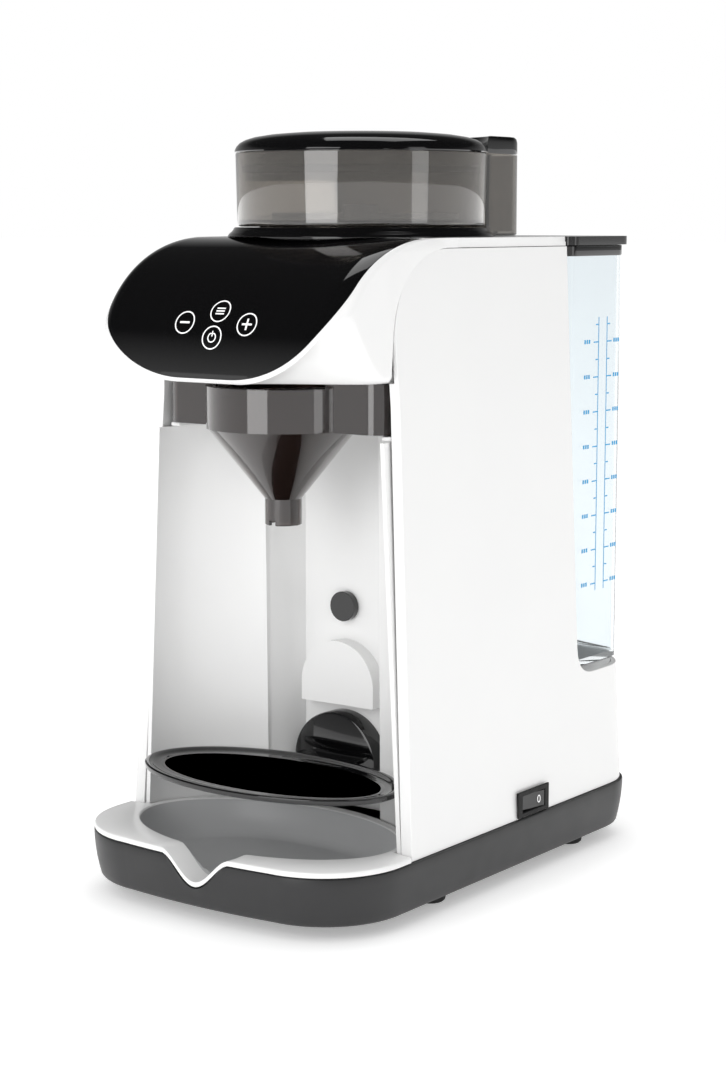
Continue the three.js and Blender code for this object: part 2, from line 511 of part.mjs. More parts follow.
function buildContainer() {
  const { r, neckR, floor, shoulder, seam, outletR, outletY } = HOPPER;
  const y = DOCK.y;
  const bore = DOCK.dogR + 3;
  const drum = turned([[bore, floor], [neckR, floor], [neckR, shoulder], [r - 0.8, shoulder], [r, seam],
    [r - THIN, seam], [r - THIN - 0.6, shoulder + THIN], [neckR - THIN, shoulder + THIN],
    [neckR - THIN, floor + THIN], [bore, floor + THIN]], 0, y, 36);
  const outlet = rod(outletR, floor - 1, floor + 4, 0, y - outletY, 20);
  const lobe = cut(plan(lobeOutline(0), LOBE.bottom, seam),
    plan(lobeOutline(THIN), LOBE.bottom + THIN, seam + 1), rod(r - 1, floor, seam + 20, 0, y, 36));
  piece('powder_container', cut(drum, outlet).add(lobe), SMOKE);

  const cap = cut(plan(lobeOutline(0), seam + GAP, LOBE.crown), rod(LID.r + 0.4, seam, LID.top, 0, y, 36));
  piece('lobe_cap', cap, GLOSS_BLACK);

  const dome = turned([[0, LID.top], [LID.r - 36, LID.top - 0.4], [LID.r - 14, LID.top - 2],
    [LID.r - 6, LID.top - 4], [LID.r - 1.5, LID.top - 7], [LID.r, seam + GAP], [LID.skirtR, seam + GAP],
    [LID.skirtR, LID.skirtZ], [LID.skirtR - 2, LID.skirtZ],
    [LID.skirtR - 2, seam + 3], [0, LID.top - 3]], 0, y, 36);
  piece('powder_lid', dome, GLOSS_BLACK);
  const sealIn = LID.skirtR + GAP;
  const sealOut = r - THIN - GAP - 0.2;
  const sealZ = LID.skirtZ + 6;
  piece('powder_lid_seal', turned([[sealIn, sealZ - 2], [sealOut, sealZ - 1.4], [sealOut, sealZ + 1.4],
    [sealIn, sealZ + 2]], 0, y, 36), RUBBER);

  // dosing wheel: six pockets swept over the outlet
  const wheelZ = floor + THIN + GAP;
  let wheel = rod(neckR - THIN - 0.5, wheelZ, wheelZ + 9, 0, y, 36);
  for (let i = 0; i < 6; i += 1) {
    const a = (i / 6) * Math.PI * 2 + Math.PI / 2;
    const [px, py] = [Math.cos(a) * outletY, y + Math.sin(a) * outletY];
    wheel = cut(wheel, rod(outletR + 1, wheelZ - 1, wheelZ + 10, px, py, 16));
  }
  const socket = hexRod(DOCK.dogR + 0.5, floor - 26, wheelZ + 6, y);
  piece('dosing_wheel', cut(wheel, socket), GREY);
  const armZ = wheelZ + 9 + GAP;
  const { hubR, hub, halfX, halfY, blade } = STIRRER;
  const arms = block(-halfX, halfX, y - halfY, y + halfY, shoulder + THIN + 1, armZ + blade);
  piece('stirrer', join(rod(hubR, armZ, armZ + hub, 0, y, 24), arms), GREY);
}

function hexRod(r, z0, z1, y) {
  const geometry = new THREE.CylinderGeometry(r, r, z1 - z0, 6).rotateX(Math.PI / 2);
  return solid(geometry.translate(0, y, (z0 + z1) / 2));
}

// ---- drive ----
// spur gear with straight-sided teeth; slim keeps running backlash
function gear(teeth, module, z0, z1, x, y, phase) {
  const pitch = (teeth * module) / 2;
  const points = [];
  const slim = 0.92;
  for (let i = 0; i < teeth; i += 1) {
    const mid = ((i + phase) / teeth) * Math.PI * 2;
    const step = (Math.PI / teeth) * slim;
    [[-0.72, -1.2], [-0.28, 0.9], [0.28, 0.9], [0.72, -1.2]].forEach(([turn, out]) => {
      const a = mid + turn * step;
      points.push([x + Math.cos(a) * (pitch + out * module), y + Math.sin(a) * (pitch + out * module)]);
    });
  }
  return plan(polygon(points), z0, z1);
}

function buildDrive() {
  const { module, wheelTeeth, pinionTeeth, z, width, pinR } = GEAR;
  const y = DOCK.y;
  const reach = ((wheelTeeth + pinionTeeth) * module) / 2;
  const plateZ = z - 9;
  const hub = rod(6, z - 2, DOCK.floor - 3, 0, y, 24);
  const dog = hexRod(DOCK.dogR, DOCK.floor - 4, HOPPER.floor + 7, y);
  const pin = rod(pinR, plateZ - 2, z - 1, 0, y, 20);
  piece('drive_gear', join(gear(wheelTeeth, module, z, z + width, 0, y, 0.25), hub, dog, pin), GREY);
  const pinionY = y + reach;
  const pinion = join(gear(pinionTeeth, module, z - 0.5, z + width + 0.5, 0, pinionY, 0.5 - 0.25),
    rod(pinR, plateZ - 4, z, 0, pinionY, 16));
  piece('motor_pinion', pinion, STEEL);

  let bracket = plan(roundedBox(40, y - 36, y + 52, 10), plateZ, plateZ + WALL);
  [[-34, y - 20], [34, y - 20], [-34, y + 34], [34, y + 34]].forEach(([px, py]) => {
    bracket = bracket.add(rod(3.5, plateZ, DOCK.floor - GAP, px, py, 14));
  });
  bracket = cut(bracket, rod(pinR + GAP, plateZ - 5, z, 0, y, 20), rod(7, plateZ - 5, z, 0, pinionY, 20));
  piece('drive_bracket', bracket, GREY);
  const motorZ = plateZ - MOTOR.length;
  const motor = join(rod(MOTOR.r, motorZ, plateZ - GAP, 0, pinionY, 28),
    rod(MOTOR.bossR, motorZ - WALL, motorZ + 1, 0, pinionY, 16));
  piece('drive_motor', cut(motor, rod(pinR + 0.4, plateZ - 6, z, 0, pinionY, 16)), STEEL);
}

// ---- funnel ----
function buildFunnel() {
  const { y, r, bottom, mouth, half, rear, top, skin, lip, lipInner } = FUNNEL;
  const drawer = (inset) =>
    roundedBox(half - inset, FUNNEL.front + inset, rear - inset, 10 - inset, 4 - inset);
  const flange = cut(plan(drawer(0), bottom, top), plan(drawer(skin), bottom + skin, top + 1));
  const lips = join(block(-half + 1, -lipInner, FUNNEL.front + 8, rear - 8, top - lip, top),
    block(lipInner, half - 1, FUNNEL.front + 8, rear - 8, top - lip, top));
  const drum = rod(r, bottom, mouth, 0, y, 36);
  const cone = turned([[0, SPOUT.bottom], [SPOUT.r, SPOUT.bottom], [SPOUT.r, SPOUT.top], [r, bottom + 0.8],
    [0, bottom + 0.8]], 0, y, 36);
  const bowl = turned([[0, SPOUT.bottom - 1], [SPOUT.bore, SPOUT.bottom - 1], [SPOUT.bore, SPOUT.top + 1],
    [r - skin, bottom + 1.6], [r - skin, top + 1], [0, top + 1]], 0, y, 36);
  const railZ = top - 8.3;
  const rails = block(-half, half, rear - 7, rear + 1, railZ - lip, top + 1);
  const aboveDrum = rod(r + 0.01, mouth, top + 1, 0, y, 36);
  const drip = block(-2, 2, y - 20, y - SPOUT.bore + 3, SPOUT.bottom - 1, SPOUT.bottom + 2.5);
  piece('mixing_funnel', cut(join(flange, lips, drum, cone), aboveDrum, bowl, rails, drip), BROWN_SMOKE);

  const coverR = r - skin - GAP;
  const openR = r - 12;
  const lid = turned([[openR, mouth - 2], [coverR, mouth - 2], [coverR, mouth + 0.2], [openR, mouth + 0.2]],
    0, y, 40);
  piece('funnel_cover', lid, BROWN_SMOKE);
  const coreR = SPOUT.bore - GAP;
  const coreWall = 1.4;
  const coreTop = bottom - 12;
  const core = turned([[coreR - coreWall, SPOUT.top - 6], [coreR, SPOUT.top - 6], [coreR, SPOUT.top + 0.6],
    [12.8, coreTop], [12.8 - coreWall, coreTop], [coreR - coreWall, SPOUT.top + 1]], 0, y, 28);
  piece('funnel_core', core, BROWN_SMOKE);

  [['left', -1], ['right', 1]].forEach(([name, hand]) => {
    const web = [lipInner - 2.6, lipInner - 0.5];
    const foot = [web[0], half - skin - 1];
    const span = ([a, b]) => (hand > 0 ? [a, b] : [-b, -a]);
    const rail = join(block(...span(web), FUNNEL.front + 12, rear - 1, railZ, HEAD.bottom - GAP),
      block(...span(foot), FUNNEL.front + 12, rear - 1, railZ, top - lip - 0.4));
    piece(`funnel_rail_${name}`, rail, WHITE);
  });

  // powder falls from the dock's outlet through a bent chute into the funnel
  const start = new THREE.Vector3(0, DOCK.y - HOPPER.outletY, DOCK.floor - GAP);
  const path = new THREE.CatmullRomCurve3([start, new THREE.Vector3(0, start.y, start.z - 8),
    new THREE.Vector3(0, y, HEAD.bottom + 17.4), new THREE.Vector3(0, y, HEAD.bottom)]);
  const ring = new THREE.Shape().absarc(0, 0, CHUTE.r, 0, Math.PI * 2);
  ring.holes.push(new THREE.Path().absarc(0, 0, CHUTE.bore, 0, Math.PI * 2, true));
  const chute = new THREE.ExtrudeGeometry(ring, {
    extrudePath: path, steps: 7, curveSegments: 5, bevelEnabled: false });
  piece('powder_chute', solid(chute), GREY);
}

// ---- water side ----
function buildTank() {
  const { half, rear, r, bottom, top, portY, portR } = TANK;
  const outline = (inset) => roundedBox(half - inset, TANK.front + inset, rear - inset, 6 - inset, r - inset);
  const vessel = cut(plan(outline(0), bottom, top), plan(outline(THIN), bottom + WALL, top + 1),
    rod(portR, bottom - 1, bottom + 5, 0, portY, 20));
  const spigot = cut(rod(6, SHELF.z - 4.6, bottom + 1, 0, portY, 24),
    rod(portR, SHELF.z - 19, bottom + 5, 0, portY, 20));
  piece('water_tank', vessel.add(spigot), CLEAR);
  const seatZ = bottom + WALL + GAP;
  const stemR = portR - 0.8;
  const valve = turned([[0, SHELF.z - 4.2], [stemR, SHELF.z - 4.2], [stemR, seatZ], [10, seatZ],
    [10, seatZ + 2.3], [4, seatZ + 3.1], [0, seatZ + 3.1]], 0, portY, 24);
  piece('tank_valve', valve, GREY);

  const lidOutline = roundedBox(TANK_LID.half, TANK_LID.front, TANK_LID.rear, 6, 13);
  const plug = (inset, z0, z1) => plan(outline(THIN + inset), z0, z1);
  const plate = plan(lidOutline, top + GAP, TANK_LID.top);
  const low = top - TANK_LID.plug;
  const tongue = cut(plug(1.5, low, top + 1), plug(3.5, low - 1, top + GAP));
  piece('tank_lid', plate.add(tongue), GLOSS_BLACK);
  const seal = cut(plug(GAP, top - 4, top - 1), plug(1.5 - GAP, top - 5, top));
  piece('tank_lid_seal', seal, RUBBER);
}

function hose(points, steps) {
  const path = new THREE.CatmullRomCurve3(points.map((p) => new THREE.Vector3(...p)));
  const section = new THREE.Shape().absarc(0, 0, HOSE.r, 0, Math.PI * 2);
  return solid(new THREE.ExtrudeGeometry(section, {
    extrudePath: path, steps, curveSegments: 4, bevelEnabled: false }));
}

function buildWaterSystem() {
  const deck = BASE.top + GAP;
  const pumpPort = (y) => rod(PUMP.portR, PUMP.z + 6, PUMP.portTop, PUMP.x, y, 16);
  const pump = join(rodAlongY(PUMP.r, PUMP.front, PUMP.rear, PUMP.x, PUMP.z, 28),
    block(PUMP.x - 15, PUMP.x + 15, PUMP.front + 4, PUMP.rear - 4, deck, PUMP.z - 12), pumpPort(PUMP.outletY),
    pumpPort(PUMP.inletY));
  piece('water_pump', pump, CHARCOAL);
  const heaterPort = (x, y, top) => rod(HEATER.portR, HEATER.top - 1, top, x, y, 16);
  const heater = join(rod(HEATER.r, deck, HEATER.top, HEATER.x, HEATER.y, 32),
    heaterPort(HEATER.x, HEATER.y, HEATER.outletTop),
    heaterPort(HEATER.inletX, HEATER.inletY, HEATER.inletTop));
  piece('heater_block', heater, STEEL);
  piece('power_board', block(-64, -62, 62, 126, deck, 92), BOARD);
  const portBottom = SHELF.z - 16 - GAP;
  const pumpTop = PUMP.portTop + GAP;
  piece('suction_hose', hose([[0, TANK.portY, portBottom], [0, TANK.portY, 76], [-8, 92, 66], [-24, 62, 84],
    [PUMP.x, PUMP.inletY, 86], [PUMP.x, PUMP.inletY, pumpTop]], 16), SILICONE);
  const heaterIn = HEATER.inletTop + GAP;
  piece('feed_hose', hose([[PUMP.x, PUMP.outletY, pumpTop], [PUMP.x, PUMP.outletY, 90], [-8, 22, 160],
    [HEATER.inletX, HEATER.inletY, 166], [HEATER.inletX, HEATER.inletY, heaterIn]], 16), SILICONE);
  const nozzleZ = NOZZLE.z;
  const hot = [[HEATER.x, HEATER.y, HEATER.outletTop + GAP], [HEATER.x, HEATER.y, 172], [50, 6, 262],
    [46, -30, 288], [NOZZLE.x, FUNNEL.y, nozzleZ + 14], [NOZZLE.x, FUNNEL.y, nozzleZ + 5 + GAP]];
  piece('hot_water_hose', hose(hot, 20), SILICONE);
  const seat = HEAD.bottom + WALL + GAP;
  const { r, flangeR } = NOZZLE;
  const nozzle = turned([[0, nozzleZ - 13.4], [r - 1.5, nozzleZ - 13.4], [r, nozzleZ - 8], [r, seat],
    [flangeR, seat], [flangeR, nozzleZ - 2], [r, nozzleZ - 2], [r, nozzleZ + 5], [0, nozzleZ + 5]],
  NOZZLE.x, FUNNEL.y, 18);
  piece('water_nozzle', nozzle, STEEL);
}

// ---- switch ----
function buildSwitch() {
  const { y, z, flange, border } = SWITCH;
  const [half, high] = [SWITCH.length / 2, SWITCH.height / 2];
  const face = SHELL.half + GAP;
  const frame = join(block(face, face + flange, y - half, y + half, z - high + 0.3, z + high),
    block(face - 18, face + 0.5, y - half + 1.8, y + half - 1.8, z - high + 1.2, z + high - 1.2));
  const window = block(face - 12, FAR, y - half + 4, y + half - 4, z - high + border, z + high - border);
  piece('switch_bezel', cut(frame, window), RUBBER);
  const rocker = new THREE.Shape();
  const reach = half - 4 - 1;
  rocker.moveTo(-reach, -3);
  rocker.lineTo(reach, -3);
  rocker.lineTo(reach, 0.2);
  rocker.quadraticCurveTo(0, -1.4, -reach, -2.4);
  const outwards = basis([0, 1, 0], [1, 0, 0], [0, 0, -1]);
  const geometry = extrudeGeometry(rocker, 2 * (high - border - GAP), 6).applyMatrix4(outwards)
    .translate(face + flange - 0.2, y, z + high - border - GAP);
  const arm = rod(2, z - high + border + GAP, z + high - border - GAP, face + flange - 4.6, y, 14);
  piece('switch_rocker', join(solid(geometry), arm), GLOSS_BLACK);
}

buildBase();
buildTray();
buildSideShells();
buildRearHousing();
buildBay();
buildStand();
buildHead();
buildDock();
buildContainer();
buildDrive();
buildFunnel();
buildTank();
buildWaterSystem();
buildSwitch();

export default model;
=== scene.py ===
import json
import math

import bmesh
import bpy
from mathutils import Euler, Matrix, Vector


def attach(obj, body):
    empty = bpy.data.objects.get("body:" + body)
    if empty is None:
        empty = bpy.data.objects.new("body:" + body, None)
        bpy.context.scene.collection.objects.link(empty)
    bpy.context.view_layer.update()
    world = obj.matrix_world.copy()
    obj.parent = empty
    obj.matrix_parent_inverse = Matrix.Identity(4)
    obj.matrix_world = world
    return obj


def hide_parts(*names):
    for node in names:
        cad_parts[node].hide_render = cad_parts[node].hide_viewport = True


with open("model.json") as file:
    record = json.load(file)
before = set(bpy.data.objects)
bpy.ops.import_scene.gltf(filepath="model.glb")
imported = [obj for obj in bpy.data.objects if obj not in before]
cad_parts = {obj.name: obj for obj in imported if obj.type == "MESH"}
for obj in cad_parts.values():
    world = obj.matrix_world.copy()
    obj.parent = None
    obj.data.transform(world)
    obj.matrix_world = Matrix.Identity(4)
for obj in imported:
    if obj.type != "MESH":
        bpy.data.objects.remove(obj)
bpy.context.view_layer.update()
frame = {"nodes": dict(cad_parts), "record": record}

MM = 0.001
GRAIN_DEPTH = 0.2  # how deep a surface's grain is at full strength, in millimetres
scene = bpy.context.scene
nodes = frame["nodes"]


# ---------------------------------------------------------------- colours and materials
def linear(hex_colour, alpha=1.0):
    """An sRGB hex colour as linear values."""
    parts = [int(hex_colour[i:i + 2], 16) / 255 for i in (1, 3, 5)]
    light = [c / 12.92 if c <= 0.04045 else ((c + 0.055) / 1.055) ** 2.4 for c in parts]
    return (*light, alpha)


def add(tree, kind, settings=None, **links):
    """Adds a node; settings are its properties and socket values, links its incoming sockets."""
    made = tree.nodes.new(kind)
    for key, value in (settings or {}).items():
        if hasattr(made, key):
            setattr(made, key, value)
        else:
            made.inputs[key].default_value = value
    for socket, source in links.items():
        tree.links.new(source, made.inputs[socket.replace("_", " ")])
    return made


def surface(name, colour, settings, grain_mm, grain, fleck, fleck_mm=40.0, polish_mm=25.0, polish=0.0):
    """A moulded material: fine grain as bump, slow drifts of colour and of polish, at real sizes."""
    made = bpy.data.materials.new(name)
    made.use_nodes = True
    tree = made.node_tree
    tree.nodes.clear()
    place = add(tree, "ShaderNodeTexCoord")
    out = add(tree, "ShaderNodeOutputMaterial")
    values = dict(settings)
    rough = values.get("Roughness", 0.4)
    shader = add(tree, "ShaderNodeBsdfPrincipled", values)
    where = place.outputs["Object"]
    drift = add(tree, "ShaderNodeTexNoise", {"Scale": 1 / (fleck_mm * MM), "Detail": 2.0}, Vector=where)
    tint = add(tree, "ShaderNodeMix", {"data_type": "RGBA"})
    tint.inputs["A"].default_value = linear(colour)
    tint.inputs["B"].default_value = linear(fleck)
    tree.links.new(drift.outputs["Fac"], tint.inputs["Factor"])
    tree.links.new(tint.outputs["Result"], shader.inputs["Base Color"])
    if polish:
        wear = add(tree, "ShaderNodeTexNoise", {"Scale": 1 / (polish_mm * MM), "Detail": 3.0}, Vector=where)
        limits = {"To Min": max(0.0, rough - polish), "To Max": rough + polish}
        span = add(tree, "ShaderNodeMapRange", limits, Value=wear.outputs["Fac"])
        tree.links.new(span.outputs["Result"], shader.inputs["Roughness"])
    rub = add(tree, "ShaderNodeTexNoise", {"Scale": 1 / (grain_mm * MM), "Detail": 3.0}, Vector=where)
    relief = {"Strength": grain, "Distance": GRAIN_DEPTH * MM}
    bump = add(tree, "ShaderNodeBump", relief, Height=rub.outputs["Fac"])
    tree.links.new(bump.outputs["Normal"], shader.inputs["Normal"])
    tree.links.new(shader.outputs["BSDF"], out.inputs["Surface"])
    return made


# injection-moulded ABS from a polished mould: bright, soft clear highlights, faint flow unevenness
WHITE_ABS = surface("white_abs", "#f2f2f1",
                    {"Roughness": 0.3, "IOR": 1.5, "Coat Weight": 0.25, "Coat Roughness": 0.12},
                    1.6, 0.01, "#eeeeee", 60, 30, 0.04)
# the tray's white ABS coloured grey inside its basin as painted shade from the bottle stand above it, left
# satin: broad dull highlights
BASIN_SHADE_GREY_ABS = surface("basin_painted_shade_abs", "#cbcccd", {"Roughness": 0.32, "IOR": 1.5},
                   1.2, 0.04, "#c4c5c6", 40, 20, 0.05)
# piano-black ABS, mirror polished: sharp reflections with a trace of orange peel
PIANO_BLACK = surface("piano_black_abs", "#09090a",
                      {"Roughness": 0.07, "IOR": 1.52, "Coat Weight": 0.4, "Coat Roughness": 0.03},
                      9.0, 0.002, "#0c0c0d", 40, 30, 0.015)
# charcoal ABS from a spark-eroded mould: an even fine texture that breaks up highlights
CHARCOAL_ABS = surface("charcoal_textured_abs", "#2a2a2b", {"Roughness": 0.42, "IOR": 1.5},
                       0.5, 0.18, "#242425", 30, 15, 0.06)
# moulded nylon of the gears and the inner pieces: matt, slightly waxy
GREY_NYLON = surface("grey_nylon", "#a0a2a3", {"Roughness": 0.5, "IOR": 1.53},
                     0.8, 0.08, "#989a9b", 20, 10, 0.05)
# moulded nitrile rubber of the feet, seals and sockets: dull black
BLACK_RUBBER = surface("black_rubber", "#191919", {"Roughness": 0.72, "IOR": 1.5},
                       0.6, 0.2, "#1e1e1e", 12, 8, 0.08)
# zinc-plated steel of the screws, motor and heater: cool, half-bright
STEEL = surface("plated_steel", "#b8babc", {"Roughness": 0.3, "Metallic": 1.0},
                0.7, 0.06, "#a9abad", 15, 8, 0.06)
# glass-fibre board under green solder mask: glossy lacquer over a weave
BOARD = surface("green_board", "#1d5a34", {"Roughness": 0.38, "IOR": 1.5}, 1.0, 0.1, "#17502c", 10, 6, 0.05)
# extruded silicone tube: milky and half clear
SILICONE = surface("silicone_tube", "#dcdfdf", {"Roughness": 0.45, "IOR": 1.41, "Transmission Weight": 0.5},
                   1.0, 0.03, "#d2d6d6", 15, 10, 0.05)
# smoke-tinted clear SAN of the powder drum: grey see-through walls with bright window-like reflections
SMOKED = surface("smoked_san", "#aaa49c",
                 {"Roughness": 0.04, "IOR": 1.45, "Transmission Weight": 0.94, "Coat Weight": 1.0,
                  "Coat IOR": 1.7, "Coat Roughness": 0.03}, 9.0, 0.002, "#9f9991", 50, 30, 0.01)
# brown-tinted SAN of the funnel: nearly opaque where it is deep, lighter through one wall
BROWN_TINT = surface("brown_tinted_san", "#463632",
                     {"Roughness": 0.06, "IOR": 1.4, "Transmission Weight": 0.8, "Coat Weight": 1.0,
                      "Coat IOR": 1.6, "Coat Roughness": 0.04}, 9.0, 0.002, "#3e302c", 50, 30, 0.015)
# crystal-clear SAN of the water tank: a thin wall that hardly bends the view
CLEAR = surface("clear_san", "#eef2f4", {"Roughness": 0.03, "IOR": 1.2, "Transmission Weight": 1.0},
                9.0, 0.002, "#f4f9fb", 60, 30, 0.01)
# pad-printed ink: flat blue for the tank's scale, white for the keys and the switch's off mark, with a faint
# painted glow
INK_BLUE = surface("blue_print", "#3aa7dc", {"Roughness": 0.45, "IOR": 1.5}, 0.4, 0.05, "#2f9ed6", 8, 6, 0.05)
INK_WHITE_PAINTED_GLOW = surface("white_print_painted_glow", "#f4f4f4",
                    {"Roughness": 0.4, "IOR": 1.5, "Emission Strength": 0.25,
                     "Emission Color": linear("#ffffff")},
                    0.4, 0.05, "#ececec", 8, 6, 0.05)

BY_SLOT = {
    "white_plastic": WHITE_ABS, "gloss_black_plastic": PIANO_BLACK, "charcoal_plastic": CHARCOAL_ABS,
    "smoked_plastic": SMOKED, "brown_smoked_plastic": BROWN_TINT, "clear_plastic": CLEAR,
    "grey_plastic": GREY_NYLON, "black_rubber": BLACK_RUBBER, "steel": STEEL, "circuit_board": BOARD,
    "silicone_tube": SILICONE,
}
SLOT_OF = {s["node"]: s["material_slot"] for s in frame["record"]["subparts"]}
BODIES = frame["record"]["behaviour"]["bodies"]
BODY_OF = {node: body for body, names in BODIES.items() for node in names}


# ---------------------------------------------------------------- modelling helpers, in millimetres
def outline_face(bm, points):
    """A face over a closed outline."""
    return bm.faces.new([bm.verts.new(p) for p in points])


def tidy(bm, gap=1e-4):
    """Merges points that lie together and turns the faces outwards."""
    bmesh.ops.remove_doubles(bm, verts=bm.verts, dist=gap)
    bmesh.ops.recalc_face_normals(bm, faces=bm.faces)
    return bm


def raised(points, lift):
    """A closed outline of 3-D points drawn out by a lift vector."""
    bm = bmesh.new()
    face = outline_face(bm, points)
    grown = bmesh.ops.extrude_face_region(bm, geom=[face], use_keep_orig=True)
    moved = [v for v in grown["geom"] if isinstance(v, bmesh.types.BMVert)]
    bmesh.ops.translate(bm, vec=lift, verts=moved)
    return tidy(bm)


def turned(profile, x=0.0, y=0.0, steps=128):
    """A closed profile of (radius, height) turned about an upright axis."""
    bm = bmesh.new()
    ring = [bm.verts.new((r, 0, z)) for r, z in profile]
    chain = [bm.edges.new(pair) for pair in zip(ring, ring[1:] + ring[:1])]
    bmesh.ops.spin(bm, geom=ring + chain, cent=(0, 0, 0), axis=(0, 0, 1), angle=2 * math.pi, steps=steps,
                   use_merge=True)
    tidy(bm)
    bmesh.ops.dissolve_degenerate(bm, dist=1e-5, edges=bm.edges)
    bmesh.ops.translate(bm, vec=(x, y, 0), verts=bm.verts)
    return bm


def lofted(loops, cap_start=True, cap_end=True):
    """Closed loops with equal numbers of points, bridged in order."""
    bm = bmesh.new()
    rings = []
    for points in loops:
        ring = [bm.verts.new(p) for p in points]
        rings.append([bm.edges.new((a, b)) for a, b in zip(ring, ring[1:] + ring[:1])])
    for one, two in zip(rings, rings[1:]):
        bmesh.ops.bridge_loops(bm, edges=one + two)
    for ring, wanted in ((rings[0], cap_start), (rings[-1], cap_end)):
        if wanted:
            bmesh.ops.edgeloop_fill(bm, edges=ring)
    bmesh.ops.recalc_face_normals(bm, faces=bm.faces)
    return bm


def rounded_profile(points, radii, steps=5):
    """A closed (radius, height) polygon with its corners rounded."""
    out = []
    count = len(points)
    for i, (p, r) in enumerate(zip(points, radii)):
        here = Vector(p)
        back, ahead = Vector(points[i - 1]) - here, Vector(points[(i + 1) % count]) - here
        reach = min(r, back.length * 0.49, ahead.length * 0.49)
        if reach < 1e-3:
            out.append(tuple(here))
            continue
        a, b = here + back.normalized() * reach, here + ahead.normalized() * reach
        for k in range(steps + 1):
            t = k / steps
            out.append(tuple(a * (1 - t) ** 2 + here * (2 * t * (1 - t)) + b * t ** 2))
    return out


def to_piece(bm, name, material, body, replaced=(), bevel=0.0, smooth=40, extra=()):
    """Makes a finished piece of a bmesh in millimetres and hands it to its body."""
    bmesh.ops.scale(bm, vec=(MM, MM, MM), verts=bm.verts)
    mesh = bpy.data.meshes.new(name)
    bm.to_mesh(mesh)
    bm.free()
    obj = bpy.data.objects.new(name, mesh)
    scene.collection.objects.link(obj)
    for each in (material, *extra):
        mesh.materials.append(each)
    mesh.shade_smooth()
    mesh.set_sharp_from_angle(angle=math.radians(smooth))
    if bevel:
        soft = obj.modifiers.new("edge", "BEVEL")
        soft.width = bevel * MM
        soft.segments = 3
        soft.limit_method = "ANGLE"
        soft.angle_limit = math.radians(35)
        soft.harden_normals = True
    if replaced:
        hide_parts(*replaced)
    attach(obj, body)
    return obj


def refined(node, name, material, bevel):
    """A CAD node's shape with its flat faces merged and its edges rounded."""
    bm = bmesh.new()
    bm.from_mesh(nodes[node].data)
    bm.transform(nodes[node].matrix_world)
    bmesh.ops.scale(bm, vec=(1 / MM, 1 / MM, 1 / MM), verts=bm.verts)
    bmesh.ops.remove_doubles(bm, verts=bm.verts, dist=0.002)
    bmesh.ops.dissolve_limit(bm, angle_limit=math.radians(0.6), verts=bm.verts, edges=bm.edges)
    bmesh.ops.triangulate(bm, faces=[f for f in bm.faces if len(f.verts) > 4])
    return to_piece(bm, name, material, BODY_OF[node], (node,), bevel, 30)


def arc(cx, cy, rx, ry, a0, a1, count):
    """Points of an elliptical arc from one angle to another, in degrees."""
    angles = [math.radians(a0 + (a1 - a0) * i / count) for i in range(count + 1)]
    return [(cx + rx * math.cos(a), cy + ry * math.sin(a)) for a in angles]


def ellipse(rx, ry, cy, z, count=160):
    """A level oval as a closed loop."""
    return [(x, y, z) for x, y in arc(0, cy, rx, ry, 0, 360, count)[:-1]]


def rounded_box(half, y0, y1, front_r, rear_r, count=12):
    """A plan outline, equal to both sides of the middle, with round corners."""
    return (arc(half - front_r, y0 + front_r, front_r, front_r, -90, 0, count)
            + arc(half - rear_r, y1 - rear_r, rear_r, rear_r, 0, 90, count)
            + arc(-half + rear_r, y1 - rear_r, rear_r, rear_r, 90, 180, count)
            + arc(-half + front_r, y0 + front_r, front_r, front_r, 180, 270, count))


def stand_in(bm, name):
    """A passing object that carries a bmesh through the boolean steps."""
    mesh = bpy.data.meshes.new(name)
    bm.to_mesh(mesh)
    bm.free()
    obj = bpy.data.objects.new(name, mesh)
    scene.collection.objects.link(obj)
    return obj


def combined(bm, steps):
    """Joins, cuts or keeps a body with tools, in order; returns a bmesh in millimetres."""
    obj = stand_in(bm, "blank")
    tools = []
    for operation, tool in steps:
        other = stand_in(tool, "tool")
        tools.append(other)
        mod = obj.modifiers.new("cut", "BOOLEAN")
        mod.operation = operation
        mod.solver = "EXACT"
        mod.object = other
    bpy.context.view_layer.update()
    shaped = obj.evaluated_get(bpy.context.evaluated_depsgraph_get())
    bm = bmesh.new()
    bm.from_mesh(shaped.to_mesh())
    for each in [obj] + tools:
        bpy.data.objects.remove(each)
    return bm


def upright(points, low, high):
    """A plan outline raised between two heights."""
    return raised([(x, y, low) for x, y in points], (0, 0, high - low))


def crate(half, y0, y1, low, high):
    """A plain box to cut with, equal to both sides of the middle."""
    return upright([(-half, y0), (half, y0), (half, y1), (-half, y1)], low, high)


def rod(r, low, high, x, y, steps):
    """An upright round bar."""
    return turned([(0, low), (r, low), (r, high), (0, high)], x, y, steps)


def closed_band(loops):
    """A ring-shaped body through loops that go round its section."""
    return tidy(lofted(loops + loops[:1], False, False), 1e-3)


for name, obj in nodes.items():
    obj.data.materials.clear()
    obj.data.materials.append(BY_SLOT[SLOT_OF[name]])


# ---------------------------------------------------------------- base
BASE_HALF, BASE_FRONT, BASE_REAR = 92.5, -148.0, 143.0
BASE_LOW, BASE_TOP, BASE_DRAFT = 8.0, 33.0, 0.025
FRONT_R, REAR_R, BOW_ROOM, BOW = 46.0, 35.0, 3.0, 2.675
SPOUT_X, SPOUT_HALF, SPOUT_LOW, DECK = 2.0, 23.0, 22.0, 36.3
OPEN = 1e3  # a height above everything, where the pouring notch doesn't cut


